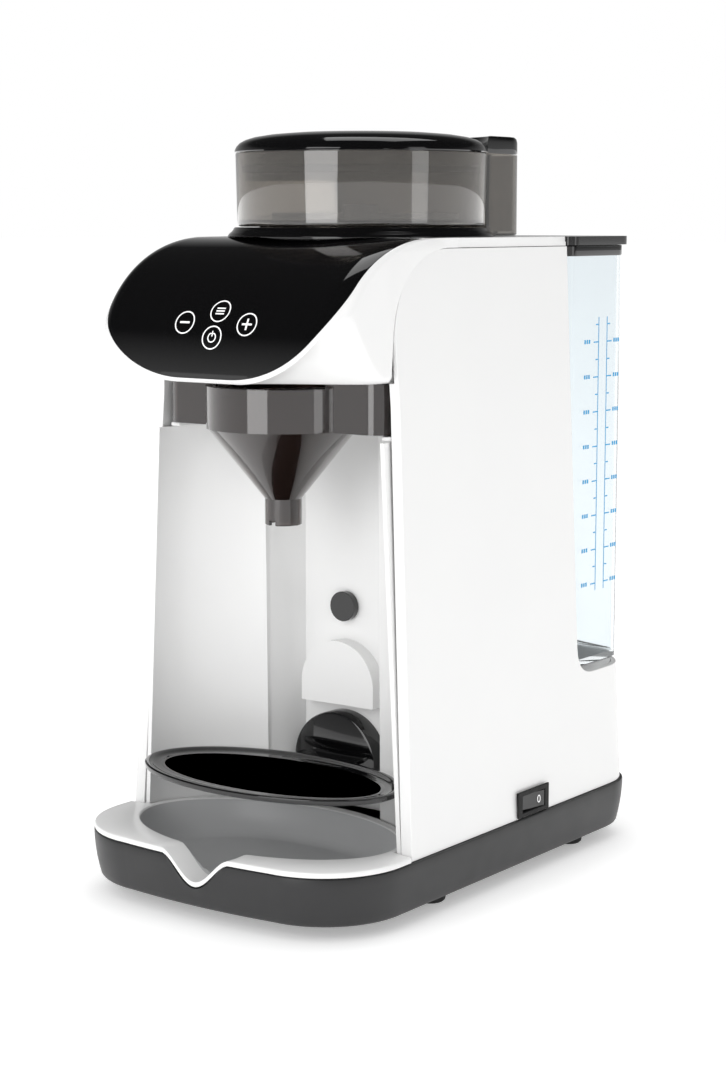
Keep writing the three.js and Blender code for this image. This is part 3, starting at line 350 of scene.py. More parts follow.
def base_outline(inset=0.0):
    """The base in plan: round corners, and a front edge that bows out between them."""
    half, rear = BASE_HALF - inset, BASE_REAR - inset
    front_r, rear_r = FRONT_R - inset, REAR_R - inset
    y = BASE_FRONT + BOW_ROOM + inset
    steps = [i / 96 for i in range(97)]
    front = [((half - front_r) * (2 * t - 1), y - 4 * BOW * t * (1 - t)) for t in steps]
    return (front + arc(half - front_r, y + front_r, front_r, front_r, -90, 0, 16)[1:]
            + arc(half - rear_r, rear - rear_r, rear_r, rear_r, 0, 90, 12)
            + arc(-half + rear_r, rear - rear_r, rear_r, rear_r, 90, 180, 12)
            + arc(-half + front_r, y + front_r, front_r, front_r, 180, 270, 16)[:-1])


def channel(x, grow=0.0):
    """Height of the pouring notch across the tray's front."""
    t = (x - SPOUT_X) / (SPOUT_HALF + grow)
    if abs(t) >= 1:
        return OPEN
    return SPOUT_LOW - grow + (DECK - SPOUT_LOW + grow) * (1 - math.cos(math.pi * t)) / 2


def skirt_draft(z):
    """How far the skirt draws in towards its foot."""
    t = (BASE_TOP - z) / (BASE_TOP - BASE_LOW)
    return 1 - BASE_DRAFT * t * t


def skirt_ring(inset, z, k=1.0):
    """A level loop round the base, dipping under the pouring notch at the front."""
    ring = []
    for x, y in base_outline(inset):
        top = channel(x, 3.3) if y < -100 else OPEN
        ring.append((x * k, y * k, min(z, top)))
    return ring


base_rings = [skirt_ring(3.2, 8.6, skirt_draft(8)), skirt_ring(1.2, 8.0, skirt_draft(8)),
              skirt_ring(0.3, 8.6, skirt_draft(8)), skirt_ring(0, 9.6, skirt_draft(9.6))]
base_rings += [skirt_ring(0, z, skirt_draft(z)) for z in (13, 18, 23, 28, 32.2)]
base_rings += [skirt_ring(0.25, 32.8), skirt_ring(0.9, 33.0), skirt_ring(5.0, 33.0), skirt_ring(5.2, 32.6),
               skirt_ring(5.2, 13.4)]
to_piece(lofted(base_rings, False, False), "base_skirt_moulding", CHARCOAL_ABS, "housing",
         ("base_skirt",))


# ---------------------------------------------------------------- drip tray
TRAY_Y, BASIN_X, BASIN_Y, BASIN_FLOOR, BASIN_DRAFT = -87.0, 76.0, 47.0, 17.0, 0.14


def ray_hit(points, angle):
    """Distance from the tray's centre to an outline along an angle."""
    dx, dy = math.cos(angle), math.sin(angle)
    best = 0.0
    for (x0, y0), (x1, y1) in zip(points, points[1:] + points[:1]):
        ex, ey = x1 - x0, y1 - y0
        det = ex * dy - ey * dx
        if abs(det) < 1e-9:
            continue
        ox, oy = x0, y0 - TRAY_Y
        s = (ox * ey - oy * ex) / -det
        u = (ox * dy - oy * dx) / -det
        if s > 0 and -1e-6 <= u <= 1 + 1e-6:
            best = max(best, s)
    return best


def tray_angles():
    """Directions round the tray's centre, closer together where the notch is."""
    wide = [-180 + i * 1.5 for i in range(240)]
    notch = [-112 + i * 0.5 for i in range(96)]
    return [math.radians(a) for a in sorted(set(wide + notch))]


tray_edge = [p for p in base_outline(0.3) if p[1] < -88]
tray_edge = sorted([p for p in tray_edge if p[0] <= 0], key=lambda p: -p[1]) + sorted(
    [p for p in tray_edge if p[0] > 0], key=lambda p: p[1])
tray_edge = [(-92.2, -88.0)] + tray_edge + [(92.2, -88.0)] + arc(0, TRAY_Y, 79.6, 53, 0, 180, 60)
ANGLES = tray_angles()
OUTER = [ray_hit(tray_edge, a) for a in ANGLES]
BASIN = [1 / math.hypot(math.cos(a) / BASIN_X, math.sin(a) / BASIN_Y) for a in ANGLES]


def tray_ring(radii, shift, z, k=1.0, under=False):
    """A loop round the tray at a height, dipping through the pouring notch."""
    ring = []
    for a, r in zip(ANGLES, radii):
        x, y = (r + shift) * k * math.cos(a), TRAY_Y + (r + shift) * k * math.sin(a)
        top = channel(x) - (2.4 if under else 0) if y < -107 else OPEN
        ring.append((x, y, min(z, top)))
    return ring


tray_rings = [tray_ring(BASIN, 2.2, 33.3, 1, True), tray_ring(OUTER, -1, 33.3, 1, True),
              tray_ring(OUTER, 0, 33.6, 1, True), tray_ring(OUTER, 0, 35.4), tray_ring(OUTER, -0.3, 36.0),
              tray_ring(OUTER, -1.0, 36.3), tray_ring(BASIN, 1.6, 36.3), tray_ring(BASIN, 0.6, 36.1),
              tray_ring(BASIN, 0.1, 35.5)]
for z in (33, 30, 27, 24, 21, 19):
    t = (DECK - z) / (DECK - BASIN_FLOOR)
    tray_rings.append(tray_ring(BASIN, 0, z, 1 - BASIN_DRAFT * t * t))
tray_rings += [tray_ring(BASIN, -1.5, BASIN_FLOOR + 0.5, 1.01 - BASIN_DRAFT),
               tray_ring(BASIN, -4, BASIN_FLOOR, 1 - BASIN_DRAFT)]
tray = lofted(tray_rings, False, True)
tray_under = lofted([tray_ring(BASIN, 2.2, 33.3, 1, True), tray_ring(BASIN, 2.2, 24, 0.98, True),
                     tray_ring(BASIN, 0, 14.6, 0.9, True)], False, True)
# the basin's inner faces below the deck take the second slot, the painted shade of the stand
for face in tray.faces:
    c = face.calc_center_median()
    inside = math.hypot(c.x / (BASIN_X + 0.2), (c.y - TRAY_Y) / (BASIN_Y + 0.2)) < 1
    face.material_index = 1 if inside and c.z < DECK - 1.7 else 0
mesh = bpy.data.meshes.new("under")
tray_under.to_mesh(mesh)
tray.from_mesh(mesh)
tidy(tray, 0.01)
tray_under.free()
# the second slot is the grey painted shade in the basin
to_piece(tray, "drip_tray_moulding", WHITE_ABS, "drip_tray", ("drip_tray",),
         extra=(BASIN_SHADE_GREY_ABS,))


# ---------------------------------------------------------------- bottle bay lining
BAY_Y, BAY_LOW, BAY_HIGH, LINING = -87.0, 33.3, 238.0, 2.5
BAY_HALF_X, BAY_HALF_Y, LEAN = 81.2, 54.0, 0.00064
HOOK_HALF, HOOK_LOWS, HOOK_STRAIGHT, HOOK_FRONT = 23.5, (49.0, 90.0), 10.5, -27.0
RECESS_Y, RECESS_HALF, CHEEK_HALF = -18.0, 27.5, 37.0


def bay_bowl(grow, low=BAY_LOW, high=BAY_HIGH):
    """The bay's oval room, narrowing upwards with the leaning side panels."""
    oval = arc(0, 0, BAY_HALF_X + grow, BAY_HALF_Y + grow, 0, 360, 192)[:-1]
    return lofted([[(x * (1 - LEAN * (z - BASE_TOP)), y + BAY_Y, z) for x, y in oval] for z in (low, high)])


def bay_recess(grow, low=BAY_LOW, high=BAY_HIGH):
    """The deeper part behind the bottle, with splayed cheeks."""
    wide, half, rear = CHEEK_HALF + grow, RECESS_HALF + grow, RECESS_Y + grow
    points = [(-wide, -57), (wide, -57), (wide, -37), (half, rear), (-half, rear), (-wide, -37)]
    return upright(points, low, high)


def arch(half, low, straight, y, count=32):
    """Front view of a hook or its hood: straight sides under a half circle."""
    crown = arc(0, low + straight, half, half, 0, 180, count)
    return [(x, y, z) for x, z in crown + [(-half, low), (half, low)]]


open_front = crate(200, -250, BAY_Y + 1, 20, 320)
hooks = [lofted([arch(HOOK_HALF, low, HOOK_STRAIGHT, y) for y in (HOOK_FRONT, RECESS_Y + 1)])
         for low in HOOK_LOWS]
lining = combined(bay_bowl(LINING), [("UNION", bay_recess(LINING)), ("DIFFERENCE", bay_bowl(0, 30, 240)),
                                     ("DIFFERENCE", bay_recess(0, 30, 240)), ("DIFFERENCE", open_front),
                                     ("UNION", hooks[0]), ("UNION", hooks[1])])
to_piece(tidy(lining, 0.005), "bay_lining", WHITE_ABS, "housing", ("bay_wall",), bevel=0.6)


# ---------------------------------------------------------------- bottle stand
STAND_Y, DISH_X, DISH_Y, DISH_LOW = -84.0, 77.0, 43.0, 61.3


def dish(shift, rise):
    """A loop of the dish, drawn in from its rim and raised above its underside."""
    return ellipse(DISH_X + shift, DISH_Y + shift, STAND_Y, DISH_LOW + rise)


# rolled rim, step down to the floor, and a fine bead round the floor
dish_section = [(-3.5, 0), (-1.2, 0.2), (-0.2, 0.9), (0, 1.9), (-0.2, 2.9), (-0.9, 3.4), (-1.8, 3.5),
                (-3.2, 3.3), (-4.2, 2.6), (-5.4, 2.0), (-7, 1.8), (-9, 1.8), (-10, 2.0), (-11, 1.8)]
to_piece(lofted([dish(*place) for place in dish_section]), "stand_dish", PIANO_BLACK, "bottle_stand",
         ("bottle_stand",))

HOOD_FACE, HOOD_REAR, HOOD_LOW, HOOD_STRAIGHT = -27.4, -18.3, 54.0, 5.5
HOOD_INNER, HOOD_OUTER = 23.9, 26.4
TONGUE_HALF = 20.0
# from the inside of the face round the open rear edge to the rounded front
hood_section = [(HOOD_INNER, HOOD_FACE), (HOOD_INNER, HOOD_REAR), (HOOD_OUTER, HOOD_REAR),
                (HOOD_OUTER, HOOD_FACE - 1.3), (HOOD_OUTER - 0.3, HOOD_FACE - 2.1),
                (HOOD_OUTER - 1.2, HOOD_FACE - 2.5)]
to_piece(lofted([arch(half, HOOD_LOW, HOOD_STRAIGHT, y) for half, y in hood_section]), "stand_hood",
         PIANO_BLACK, "bottle_stand")
to_piece(crate(TONGUE_HALF, -50, HOOD_FACE - 1, DISH_LOW, DISH_LOW + 2), "stand_tongue", PIANO_BLACK,
         "bottle_stand", bevel=0.6)


# ---------------------------------------------------------------- head
HALF, FRONT, TOP, BOTTOM = 75.0, -134.0, 336.0, 266.6
CROWN_Y, WAIST, SWELL, CORNER_R, LIP_R = -49.0, 268.0, 2.15, 12.0, 4.0
CHEEK_X, CHEEK_Z = 59.0, 46.5
HEAD_STEPS, HEAD_REAR, SKIN = 88, -26.0, 3.0
SEAM_HALF, SEAM_LOW, SEAM_X, SEAM_Z, SEAM_GAP = 73.0, 269.0, 58.0, 45.0, 0.1
DRUM_Y, CUP_R = -5.0, 57.3
ABOVE = 400.0  # higher than every piece


def nose_y(z, inset=0.0):
    """How far forward the head's middle reaches at a height."""
    t = min(1.0, max(0.0, (z - WAIST) / (TOP - inset - WAIST)))
    return CROWN_Y - (CROWN_Y - FRONT - inset) * (1 - t ** SWELL) ** (1 / SWELL)


def head_outline(inset, rear):
    """Side view of the head: a short lip, then one full curve up and over to the crown."""
    front, top, bottom = FRONT + inset, TOP - inset, BOTTOM + inset
    reach, rise = CROWN_Y - front, top - WAIST
    lip = max(0.8, LIP_R - inset)
    low = arc(front + lip, bottom + lip, lip, lip, 270, 180, 8)
    high = []
    for i in range(65):
        a = math.pi / 2 * i / 64
        high.append((CROWN_Y - reach * math.cos(a) ** (2 / SWELL), WAIST + rise * math.sin(a) ** (2 / SWELL)))
    low = [p for p in low if p[1] < WAIST - 0.05]
    return low + high + [(rear, top), (rear, bottom)]


def head_body(inset=0.0):
    """The head as sections across X, its front set back towards the sides to round the corners."""
    rear = HEAD_REAR + (20 if inset else 0)
    half = HALF - inset
    r = CORNER_R - inset
    flat = half - r
    sections = []
    for k in range(HEAD_STEPS + 1):
        t = 2 * k / HEAD_STEPS - 1
        across = half * math.copysign(1 - (1 - abs(t)) ** 2, t)
        past = max(0.0, abs(across) - flat)
        set_back = r - math.sqrt(max(0.0, r * r - past * past))
        share = [min(1.0, max(0.0, (rear - y) / (rear - CROWN_Y))) for y, z in head_outline(inset, rear)]
        sections.append([(across, y + set_back * part, z)
                         for part, (y, z) in zip(share, head_outline(inset, rear))])
    return lofted(sections)


def cheek(half, low, rx, rz, y):
    """Front view of the head at a depth, with elliptical lower corners."""
    points = (arc(half - rx, low + rz, rx, rz, -90, 0, 40) + [(half, ABOVE), (-half, ABOVE)]
              + arc(-half + rx, low + rz, rx, rz, 180, 270, 40))
    return [(x, y, z) for x, z in points]


def cheek_region(inset=0.0):
    """Wide round corners at the front, closing to nearly square ones where the head meets the wings."""
    half, low = HALF - inset, BOTTOM + inset
    sections = []
    for i in range(15):
        t = i / 14
        ease = t * t * (3 - 2 * t)
        rx = (CHEEK_X - inset) * (1 - ease) + 5 * ease
        rz = (CHEEK_Z - inset) * (1 - ease) + 4 * ease
        sections.append(cheek(half, low, rx, rz, -128 + 41 * t))
    foremost = cheek(half, low, CHEEK_X - inset, CHEEK_Z - inset, -145)
    return lofted([foremost] + sections + [cheek(half, low, 5, 4, 20)])


def cover_region(grow):
    """Everything in front of the seam between the black cover and the white head."""
    half, low = SEAM_HALF + grow, SEAM_LOW - grow
    return lofted([cheek(half, low, SEAM_X, SEAM_Z, y) for y in (-200, CROWN_Y - 2 + grow)])


def head_shell():
    """The head hollowed out, before it is parted into cover and nose."""
    inner = combined(head_body(SKIN), [("INTERSECT", cheek_region(SKIN))])
    return combined(head_body(), [("INTERSECT", cheek_region()), ("DIFFERENCE", inner)])


def cup_space():
    """The round room that the dock takes."""
    return rod(CUP_R, TOP - 36, TOP + 14, 0, DRUM_Y, 96)


def beside_wings():
    """The room that the side panels' upper front corners take."""
    line = [(-87.4, 200), (-81.4, 288)]
    curve = [(-81.3, 288), (-80.3, 312.3), (-63, 330.1), (-35, 331.1)]
    for i in range(1, 21):
        t = i / 20
        weights = ((1 - t) ** 3, 3 * t * (1 - t) ** 2, 3 * t * t * (1 - t), t ** 3)
        line.append(tuple(sum(w * p[k] for w, p in zip(weights, curve)) for k in (0, 1)))
    line += [(0, 331.1), (0, 200)]
    return line


floor_plate = crate(90, FRONT + SKIN + 0.5, 0, 260, BOTTOM + SKIN + 0.1)
cover = combined(head_shell(), [("INTERSECT", cover_region(-SEAM_GAP)), ("DIFFERENCE", cup_space()),
                                ("DIFFERENCE", floor_plate)])
to_piece(tidy(cover, 0.01), "control_cover_skin", PIANO_BLACK, "housing",
         ("control_cover",), smooth=38)

WING_X, WING_DEPTH, FUNNEL_Y, NOZZLE_X = 71.5, 12.0, -72.0, 20.0
wings = [raised([(hand * WING_X, y, z) for y, z in beside_wings()], (hand * WING_DEPTH, 0, 0))
         for hand in (1, -1)]
throat = rod(10.7, 255, 290, 0, FUNNEL_Y, 48)
nozzle_hole = rod(4.4, 255, 290, NOZZLE_X, FUNNEL_Y, 32)
nose = combined(head_shell(), [("DIFFERENCE", cover_region(SEAM_GAP)), ("DIFFERENCE", cup_space()),
                               ("DIFFERENCE", wings[0]), ("DIFFERENCE", wings[1]), ("DIFFERENCE", throat),
                               ("DIFFERENCE", nozzle_hole)])
to_piece(tidy(nose, 0.01), "nose_shell", WHITE_ABS, "housing", ("upper_housing",), smooth=38)


def on_face(u, v, lift, x0, z0):
    """A point of the cover's front, u across and v up along the surface from (x0, z0)."""
    z, step = z0, v / 24
    for _ in range(24):
        run = nose_y(z + 0.05) - nose_y(z - 0.05)
        z += step / math.hypot(run / 0.1, 1)
    slope = (nose_y(z + 0.05) - nose_y(z - 0.05)) / 0.1
    scale = math.hypot(slope, 1)
    return (x0 + u, nose_y(z) - lift / scale, z + lift * slope / scale)


def print_on_face(outlines, x0, z0):
    """Closed bands, each an outer and an inner outline, as a thin raised print on the cover."""
    bm = bmesh.new()
    for outer, inner in outlines:
        rows = [[on_face(u, v, lift, x0, z0) for u, v in side_points]
                for side_points, lift in ((outer, -0.05), (outer, 0.06), (inner, 0.06), (inner, -0.05))]
        mesh = bpy.data.meshes.new("band")
        part = lofted(rows + [rows[0]], False, False)
        part.to_mesh(mesh)
        part.free()
        bm.from_mesh(mesh)
    return tidy(bm, 1e-3)


def bar(u, v, half_u, half_v):
    """A filled bar as a band whose inner outline is its own centre line."""
    round_it = [(-1, -1), (0, -1), (1, -1), (1, 0), (1, 1), (0, 1), (-1, 1), (-1, 0)]
    outer = [(u + a * half_u, v + b * half_v) for a, b in round_it]
    inner = [(u + (a - u) * 0.02, v + (b - v) * 0.02) for a, b in outer]
    return outer, inner


KEY_X, KEY_R, KEY_LINE = 3.2, 6.0, 0.65
ring = tuple(arc(0, 0, r, r, 0, 360, 48)[:-1] for r in (KEY_R, KEY_R - KEY_LINE))
power_arc = tuple(arc(0, 0, r, r, 120, 420, 30) for r in (2.6, 2.0))
# each key's place across and up, and the sign in its ring
keys = {
    "key_less": (-19.4, 295.5, [bar(0, 0, 3.0, 0.5)]),
    "key_more": (19.4, 295.5, [bar(0, 0, 3.0, 0.5), bar(0, 1.75, 0.5, 1.2), bar(0, -1.75, 0.5, 1.2)]),
    "key_menu": (0.6, 301.3, [bar(0, 1.5, 2.6, 0.35), bar(0, 0, 2.6, 0.35), bar(0, -1.5, 2.6, 0.35)]),
    "key_start": (-0.3, 288.8, [power_arc, bar(0, 1.9, 0.3, 1.4)]),
}
# the keys' white print carries a faint painted glow
for name, (x0, z0, marks) in keys.items():
    to_piece(print_on_face([ring] + marks, x0 + KEY_X, z0), name, INK_WHITE_PAINTED_GLOW, "housing",
             smooth=60)

# top plate and shoulder bands behind the nose
PLATE_HALF, PLATE_REAR, SHOULDER_LOW = 72.7, 81.0, 331.1
plate = upright(rounded_box(PLATE_HALF, -53.2, PLATE_REAR, 0.6, 1.0, 4), TOP - SKIN, TOP)
plate = combined(plate, [("DIFFERENCE", cup_space())])
to_piece(tidy(plate, 0.01), "top_plate", WHITE_ABS, "housing", bevel=0.8)
for hand, name in ((-1, "left"), (1, "right")):
    edge, inner = hand * PLATE_HALF, hand * (PLATE_HALF - SKIN)
    band = upright([(edge, -51), (edge, PLATE_REAR), (inner, PLATE_REAR), (inner, -51)], SHOULDER_LOW, 333.3)
    to_piece(band, "shoulder_band_" + name, WHITE_ABS, "housing")


# ---------------------------------------------------------------- powder drum, dock and lid
DOCK_FLOOR, DOCK_RIM, DOCK_WALL, SHAFT_HOLE_R, FLARE_R, NECK_R = 322.0, 341.0, 3.0, 6.5, 70.0, 57.0
DRUM_R, DRUM_NECK, DRUM_WALL, DRUM_FLOOR, SHOULDER, SEAM = 65.5, 53.0, 2.4, 326.0, 341.3, 378.9
LOBE_HALF, LOBE_REAR, LOBE_R = 50.0, 79.0, 16.0
seat = TOP + 0.3
dock_section = [(SHAFT_HOLE_R, DOCK_FLOOR), (NECK_R, DOCK_FLOOR), (NECK_R, seat), (FLARE_R, seat),
                (69.2, seat + 1.3), (67.2, seat + 2.9), (66.4, DOCK_RIM), (54, DOCK_RIM),
                (54, DOCK_FLOOR + DOCK_WALL), (SHAFT_HOLE_R, DOCK_FLOOR + DOCK_WALL)]
dock = turned(rounded_profile(dock_section, [0, 1, 0, 0.4, 0.8, 1.2, 0.8, 0.8, 1, 0]), 0, DRUM_Y, 144)
lobe_gap = upright(rounded_box(LOBE_HALF + 0.6, 20, LOBE_REAR + 0.6, 1, LOBE_R + 0.6), TOP, TOP + 30)
lobe_gap = combined(lobe_gap, [("DIFFERENCE", crate(90, -40, 34.6, 330, 390))])
dock = combined(dock, [("DIFFERENCE", lobe_gap)])
to_piece(tidy(dock, 0.005), "dock_collar", PIANO_BLACK, "housing", ("container_dock",),
         smooth=35)

drum_section = [(8, DRUM_FLOOR), (DRUM_NECK, DRUM_FLOOR), (DRUM_NECK, SHOULDER), (DRUM_R - 0.8, SHOULDER),
                (DRUM_R, SEAM), (DRUM_R - DRUM_WALL, SEAM), (DRUM_R - 3, SHOULDER + DRUM_WALL),
                (DRUM_NECK - DRUM_WALL, SHOULDER + DRUM_WALL),
                (DRUM_NECK - DRUM_WALL, DRUM_FLOOR + DRUM_WALL),
                (8, DRUM_FLOOR + DRUM_WALL)]
drum = turned(rounded_profile(drum_section, [0, 1, 0.6, 2.0, 0.4, 0.4, 1.5, 1, 1, 0]), 0, DRUM_Y, 144)
to_piece(drum, "drum_wall", SMOKED, "container", ("powder_container",), smooth=35)


def lobe_loop(inset, z, gap=0.0):
    """The rear lobe in plan, its front following the drum."""
    reach, half, r = DRUM_R + gap + inset, LOBE_HALF - inset, LOBE_R - inset
    spread = math.degrees(math.asin(half / reach))
    points = (arc(LOBE_HALF - LOBE_R, LOBE_REAR - LOBE_R, r, r, 0, 90, 12)
              + arc(-half + LOBE_R - inset, LOBE_REAR - LOBE_R, r, r, 90, 180, 12)
              + arc(0, DRUM_Y, reach, reach, 90 + spread, 90 - spread, 40))
    return [(x, y, z) for x, y in points]


# outside from the foot up, over the rim, and down inside
lobe_section = [(1.0, 336.4), (0, 337.2), (0, SEAM), (DRUM_WALL, SEAM), (DRUM_WALL, 338.8)]
to_piece(lofted([lobe_loop(inset, z, 0.1) for inset, z in lobe_section]), "lobe_wall", SMOKED, "container",
         smooth=35)
# the cap from its underside to its rounded top
cap_section = [(1.5, 379.2), (0.2, 379.3), (0, 380), (0, 385.4), (0.5, 387.3), (1.6, 388.3), (3.2, 388.5)]
to_piece(lofted([lobe_loop(inset, z, 0.9) for inset, z in cap_section]), "lobe_cap_moulding", PIANO_BLACK,
         "container", ("lobe_cap",), smooth=50)

LID_TOP, LID_SEAM, LID_SKIRT_R, LID_SKIRT_Z = 390.0, 379.2, 60.8, 364.0
# from the middle of the low dome out over its rolled edge, down the skirt and back under
lid_section = [(0, LID_TOP), (20, 389.85), (36, 389.3), (48, 388.3), (56, 387), (60.5, 385.6), (63.4, 384.0),
               (65.0, 382.3), (65.8, 380.6), (66, 379.7), (65.6, LID_SEAM), (LID_SKIRT_R, LID_SEAM),
               (LID_SKIRT_R, LID_SKIRT_Z), (LID_SKIRT_R - 2, LID_SKIRT_Z), (LID_SKIRT_R - 2, 381.9),
               (0, LID_TOP - 3)]
to_piece(turned(lid_section, 0, DRUM_Y, 144), "lid_dome", PIANO_BLACK, "powder_lid",
         ("powder_lid",), smooth=50)


# ---------------------------------------------------------------- funnel
DRAWER_HALF, DRAWER_FRONT, DRAWER_REAR, DRAWER_TOP, DRAWER_WALL = 69.6, -83.0, -32.6, 265.8, 2.2
FUNNEL_R, FUNNEL_LOW, FUNNEL_MOUTH = 39.0, 241.0, 262.4
SPOUT_R, SPOUT_BORE, SPOUT_TOP, SPOUT_FOOT = 9.5, 7.3, 205.0, 191.6


def drawer(inset, low, high):
    """The drawer's body, or the room within its walls."""
    plan = rounded_box(DRAWER_HALF - inset, DRAWER_FRONT + inset, DRAWER_REAR - inset, 10 - inset, 4 - inset)
    return upright(plan, low, high)


funnel_drum = rod(FUNNEL_R, FUNNEL_LOW, FUNNEL_MOUTH, 0, FUNNEL_Y, 120)
cone = turned([(0, SPOUT_FOOT), (SPOUT_R - 0.4, SPOUT_FOOT), (SPOUT_R, SPOUT_FOOT + 0.4),
               (SPOUT_R, SPOUT_TOP),
               (FUNNEL_R, FUNNEL_LOW + 0.8), (0, FUNNEL_LOW + 0.8)], 0, FUNNEL_Y, 120)
bowl = turned([(0, 180), (SPOUT_BORE, 180), (SPOUT_BORE, SPOUT_TOP + 1),
               (FUNNEL_R - DRAWER_WALL, FUNNEL_LOW + 1.6), (FUNNEL_R - DRAWER_WALL, 280), (0, 280)],
              0, FUNNEL_Y, 120)
back_gap = crate(72, DRAWER_REAR - 7, -28, 255, 277)
drip_slot = crate(2, FUNNEL_Y - 20, FUNNEL_Y - 4.3, 190, 194.1)
funnel = combined(drawer(0, FUNNEL_LOW, DRAWER_TOP),
                  [("DIFFERENCE", drawer(DRAWER_WALL, FUNNEL_LOW + DRAWER_WALL, 283.2)),
                   ("DIFFERENCE", back_gap), ("UNION", funnel_drum), ("UNION", cone), ("DIFFERENCE", bowl),
                   ("DIFFERENCE", drip_slot)])
to_piece(tidy(funnel, 0.005), "funnel_vessel", BROWN_TINT, "funnel",
         ("mixing_funnel",), smooth=32)

# ---------------------------------------------------------------- plain mouldings with rounded edges
EDGED = {
    "side_shell_left": ("side_panel_left", WHITE_ABS, 0.5),
    "side_shell_right": ("side_panel_right", WHITE_ABS, 0.5),
    "rear_housing": ("rear_panel", WHITE_ABS, 0.8),
    "funnel_bay": ("funnel_bay_lining", WHITE_ABS, 0.5),
    "bottle_sensor": ("sensor_window", PIANO_BLACK, 1.0),
    "water_tank": ("tank_vessel", CLEAR, 0.8),
    "tank_lid": ("tank_cover", PIANO_BLACK, 0.9),
    "switch_bezel": ("switch_frame", BLACK_RUBBER, 0.4),
    "switch_rocker": ("rocker_key", PIANO_BLACK, 0.3),
    "power_inlet": ("inlet_socket", BLACK_RUBBER, 0.4),
}
for node, (name, material, edge) in EDGED.items():
    refined(node, name, material, edge)

# ---------------------------------------------------------------- tank print, lid and switch details
TANK_HALF, TANK_FRONT, TANK_REAR, TANK_TOP = 75.0, 83.0, 145.0, 331.0
SCALE_LINES, SCALE_MID, SCALE_HALF = (113.5, 122.5), 216.0, 76.0
SCALE_LOW, SCALE_STEP, INK_MIDDLE, INK_DEPTH = 144.0, 9.6, 0.01, 0.12


def side_print(marks, x):
    """Thin raised marks on a flat side face: each is (middle y, middle z, half length, half height)."""
    bm = bmesh.new()
    for y, z, half_y, half_z in marks:
        size = Matrix.Diagonal((INK_DEPTH, half_y * 2, half_z * 2, 1))
        place = Matrix.Translation((x + INK_MIDDLE, y, z)) @ size
        bmesh.ops.create_cube(bm, size=1, matrix=place)
    return bm


scale_marks = [(y, SCALE_MID, 0.35, SCALE_HALF) for y in SCALE_LINES]
for step in range(16):
    z = SCALE_LOW + step * SCALE_STEP
    reach, half = (1.2, 2.4) if step % 2 == 0 else (0.2, 1.2)
    scale_marks += [(111.8 - reach, z, half, 0.35), (124.2 + reach, z, half, 0.35)]
    if step % 2 == 0:
        scale_marks += [(y, z + 0.4, 0.75, 1.1) for y in (99.0, 101.3, 103.6, 130.4, 132.7, 135.0)]
to_piece(side_print(scale_marks, TANK_HALF), "tank_scale_print", INK_BLUE, "tank")

# dark skirt under the tank's lid: outside from its foot up, then down close to the tank's wall
skirt_section = [(0.15, 325.4), (0.5, 325.9), (0.5, 330.6), (0.15, TANK_TOP + 0.1), (0.1, TANK_TOP + 0.1),
                 (0.1, 325.4)]
skirt_loops = [[(x, y, z)
                for x, y in rounded_box(TANK_HALF + grow, TANK_FRONT - grow, TANK_REAR + grow, 6, 12)]
               for grow, z in skirt_section]
to_piece(closed_band(skirt_loops), "tank_lid_skirt", PIANO_BLACK, "tank_lid")

ROCKER_X, ROCKER_Y, ROCKER_Z, ROCKER_REACH = 92.2, 23.5, 40.8, 10.0


def rocker_face(y):
    """How far out the rocker's hollow face lies at a place along it."""
    t = (1 - y / ROCKER_REACH) / 2
    return ROCKER_X + 0.2 * (1 - t) ** 2 - 2.8 * t * (1 - t) - 2.4 * t * t


MARK_Y, MARK_LIFT = 5.6, 0.16
off_mark = [[(rocker_face(y) + lift, ROCKER_Y + y, ROCKER_Z + z)
             for y, z in arc(MARK_Y, 0, half_y, half_z, 0, 360, 40)[:-1]]
            for half_y, half_z, lift in ((1.25, 2.1, 0), (1.25, 2.1, MARK_LIFT), (0.85, 1.6, MARK_LIFT),
                                         (0.85, 1.6, 0))]
# the off mark's white print carries a faint painted glow
to_piece(closed_band(off_mark), "switch_off_mark", INK_WHITE_PAINTED_GLOW, "switch_rocker")

# ---------------------------------------------------------------- floor, lights, camera
bpy.ops.mesh.primitive_plane_add(size=60, location=(0, 0, 0))
floor = bpy.context.object
floor.name = "floor"
# matt white paper sweep, lit a little from within so that it stays white far away
PAPER = surface("floor_paper", "#ffffff",
                {"Roughness": 0.9, "Specular IOR Level": 0.0, "Emission Color": (1, 1, 1, 1),
                 "Emission Strength": 0.3}, 3.0, 0.01, "#fdfdfd")
floor.data.materials.append(PAPER)

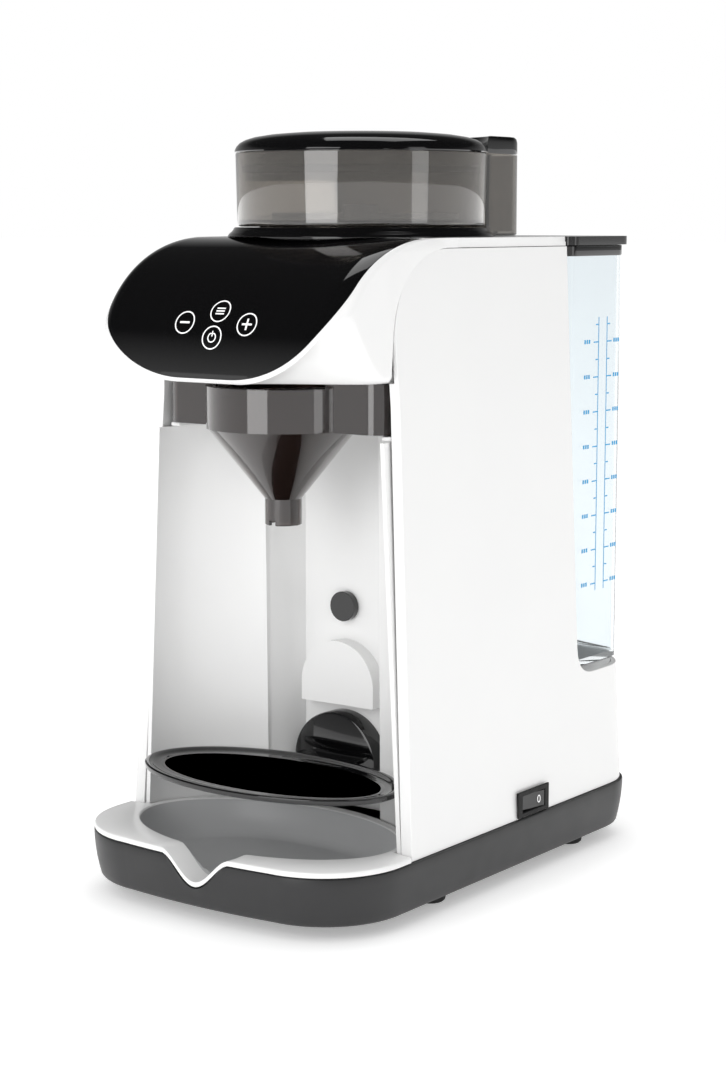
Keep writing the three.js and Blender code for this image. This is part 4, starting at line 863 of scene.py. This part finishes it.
# a white room that is dark in reflections, so that the gloss black stays black
world = bpy.data.worlds.new("room")
world.use_nodes = True
sky = world.node_tree
sky.nodes.clear()
direction = add(sky, "ShaderNodeTexCoord")
height = add(sky, "ShaderNodeSeparateXYZ", Vector=direction.outputs["Generated"])
fall = add(sky, "ShaderNodeMapRange", {"From Min": 0.02, "From Max": 0.45, "To Min": 0.55, "To Max": 0.03},
           Value=height.outputs["Z"])
mirrored = add(sky, "ShaderNodeBackground", Strength=fall.outputs["Result"])
plain = add(sky, "ShaderNodeBackground", {"Color": (1, 1, 1, 1), "Strength": 0.74})
behind = add(sky, "ShaderNodeBackground", {"Color": (1, 1, 1, 1), "Strength": 1.0})
ray = add(sky, "ShaderNodeLightPath")
both = add(sky, "ShaderNodeMixShader", Fac=ray.outputs["Is Glossy Ray"])
sky.links.new(plain.outputs["Background"], both.inputs[1])
sky.links.new(mirrored.outputs["Background"], both.inputs[2])
seen = add(sky, "ShaderNodeMixShader", Fac=ray.outputs["Is Camera Ray"])
sky.links.new(both.outputs["Shader"], seen.inputs[1])
sky.links.new(behind.outputs["Background"], seen.inputs[2])
add(sky, "ShaderNodeOutputWorld", Surface=seen.outputs["Shader"])
scene.world = world
scene.view_settings.view_transform = "Standard"


def softbox(name, at, target, size_x, size_y, radiance):
    """A rectangular lamp turned towards a target, as bright as its radiance says."""
    lamp = bpy.data.lights.new(name, "AREA")
    lamp.shape = "RECTANGLE"
    lamp.size, lamp.size_y = size_x, size_y
    lamp.energy = radiance * math.pi * size_x * size_y
    obj = bpy.data.objects.new(name, lamp)
    obj.location = at
    obj.rotation_euler = (Vector(target) - Vector(at)).to_track_quat("-Z", "Y").to_euler()
    scene.collection.objects.link(obj)


softbox("front_panel", (0.0, -1.7, 0.72), (0, 0, 0.45), 0.95, 1.35, 2.6)
softbox("side_panel", (1.7, 0.0, 0.72), (0, 0, 0.45), 0.5, 1.35, 1.2)
softbox("top_panel", (-0.2, 0.5, 1.9), (0, 0, 0.3), 1.0, 1.0, 1.6)

lens = bpy.data.cameras.new("camera")
lens.lens = 74.0
lens.sensor_width = 36.0
lens.sensor_fit = "AUTO"
camera = bpy.data.objects.new("camera", lens)
camera.location = (0.6992, -0.95955, 0.34474)
camera.rotation_euler = Euler((math.radians(90 - 8.25), 0, math.radians(36.18)))
scene.collection.objects.link(camera)
scene.camera = camera
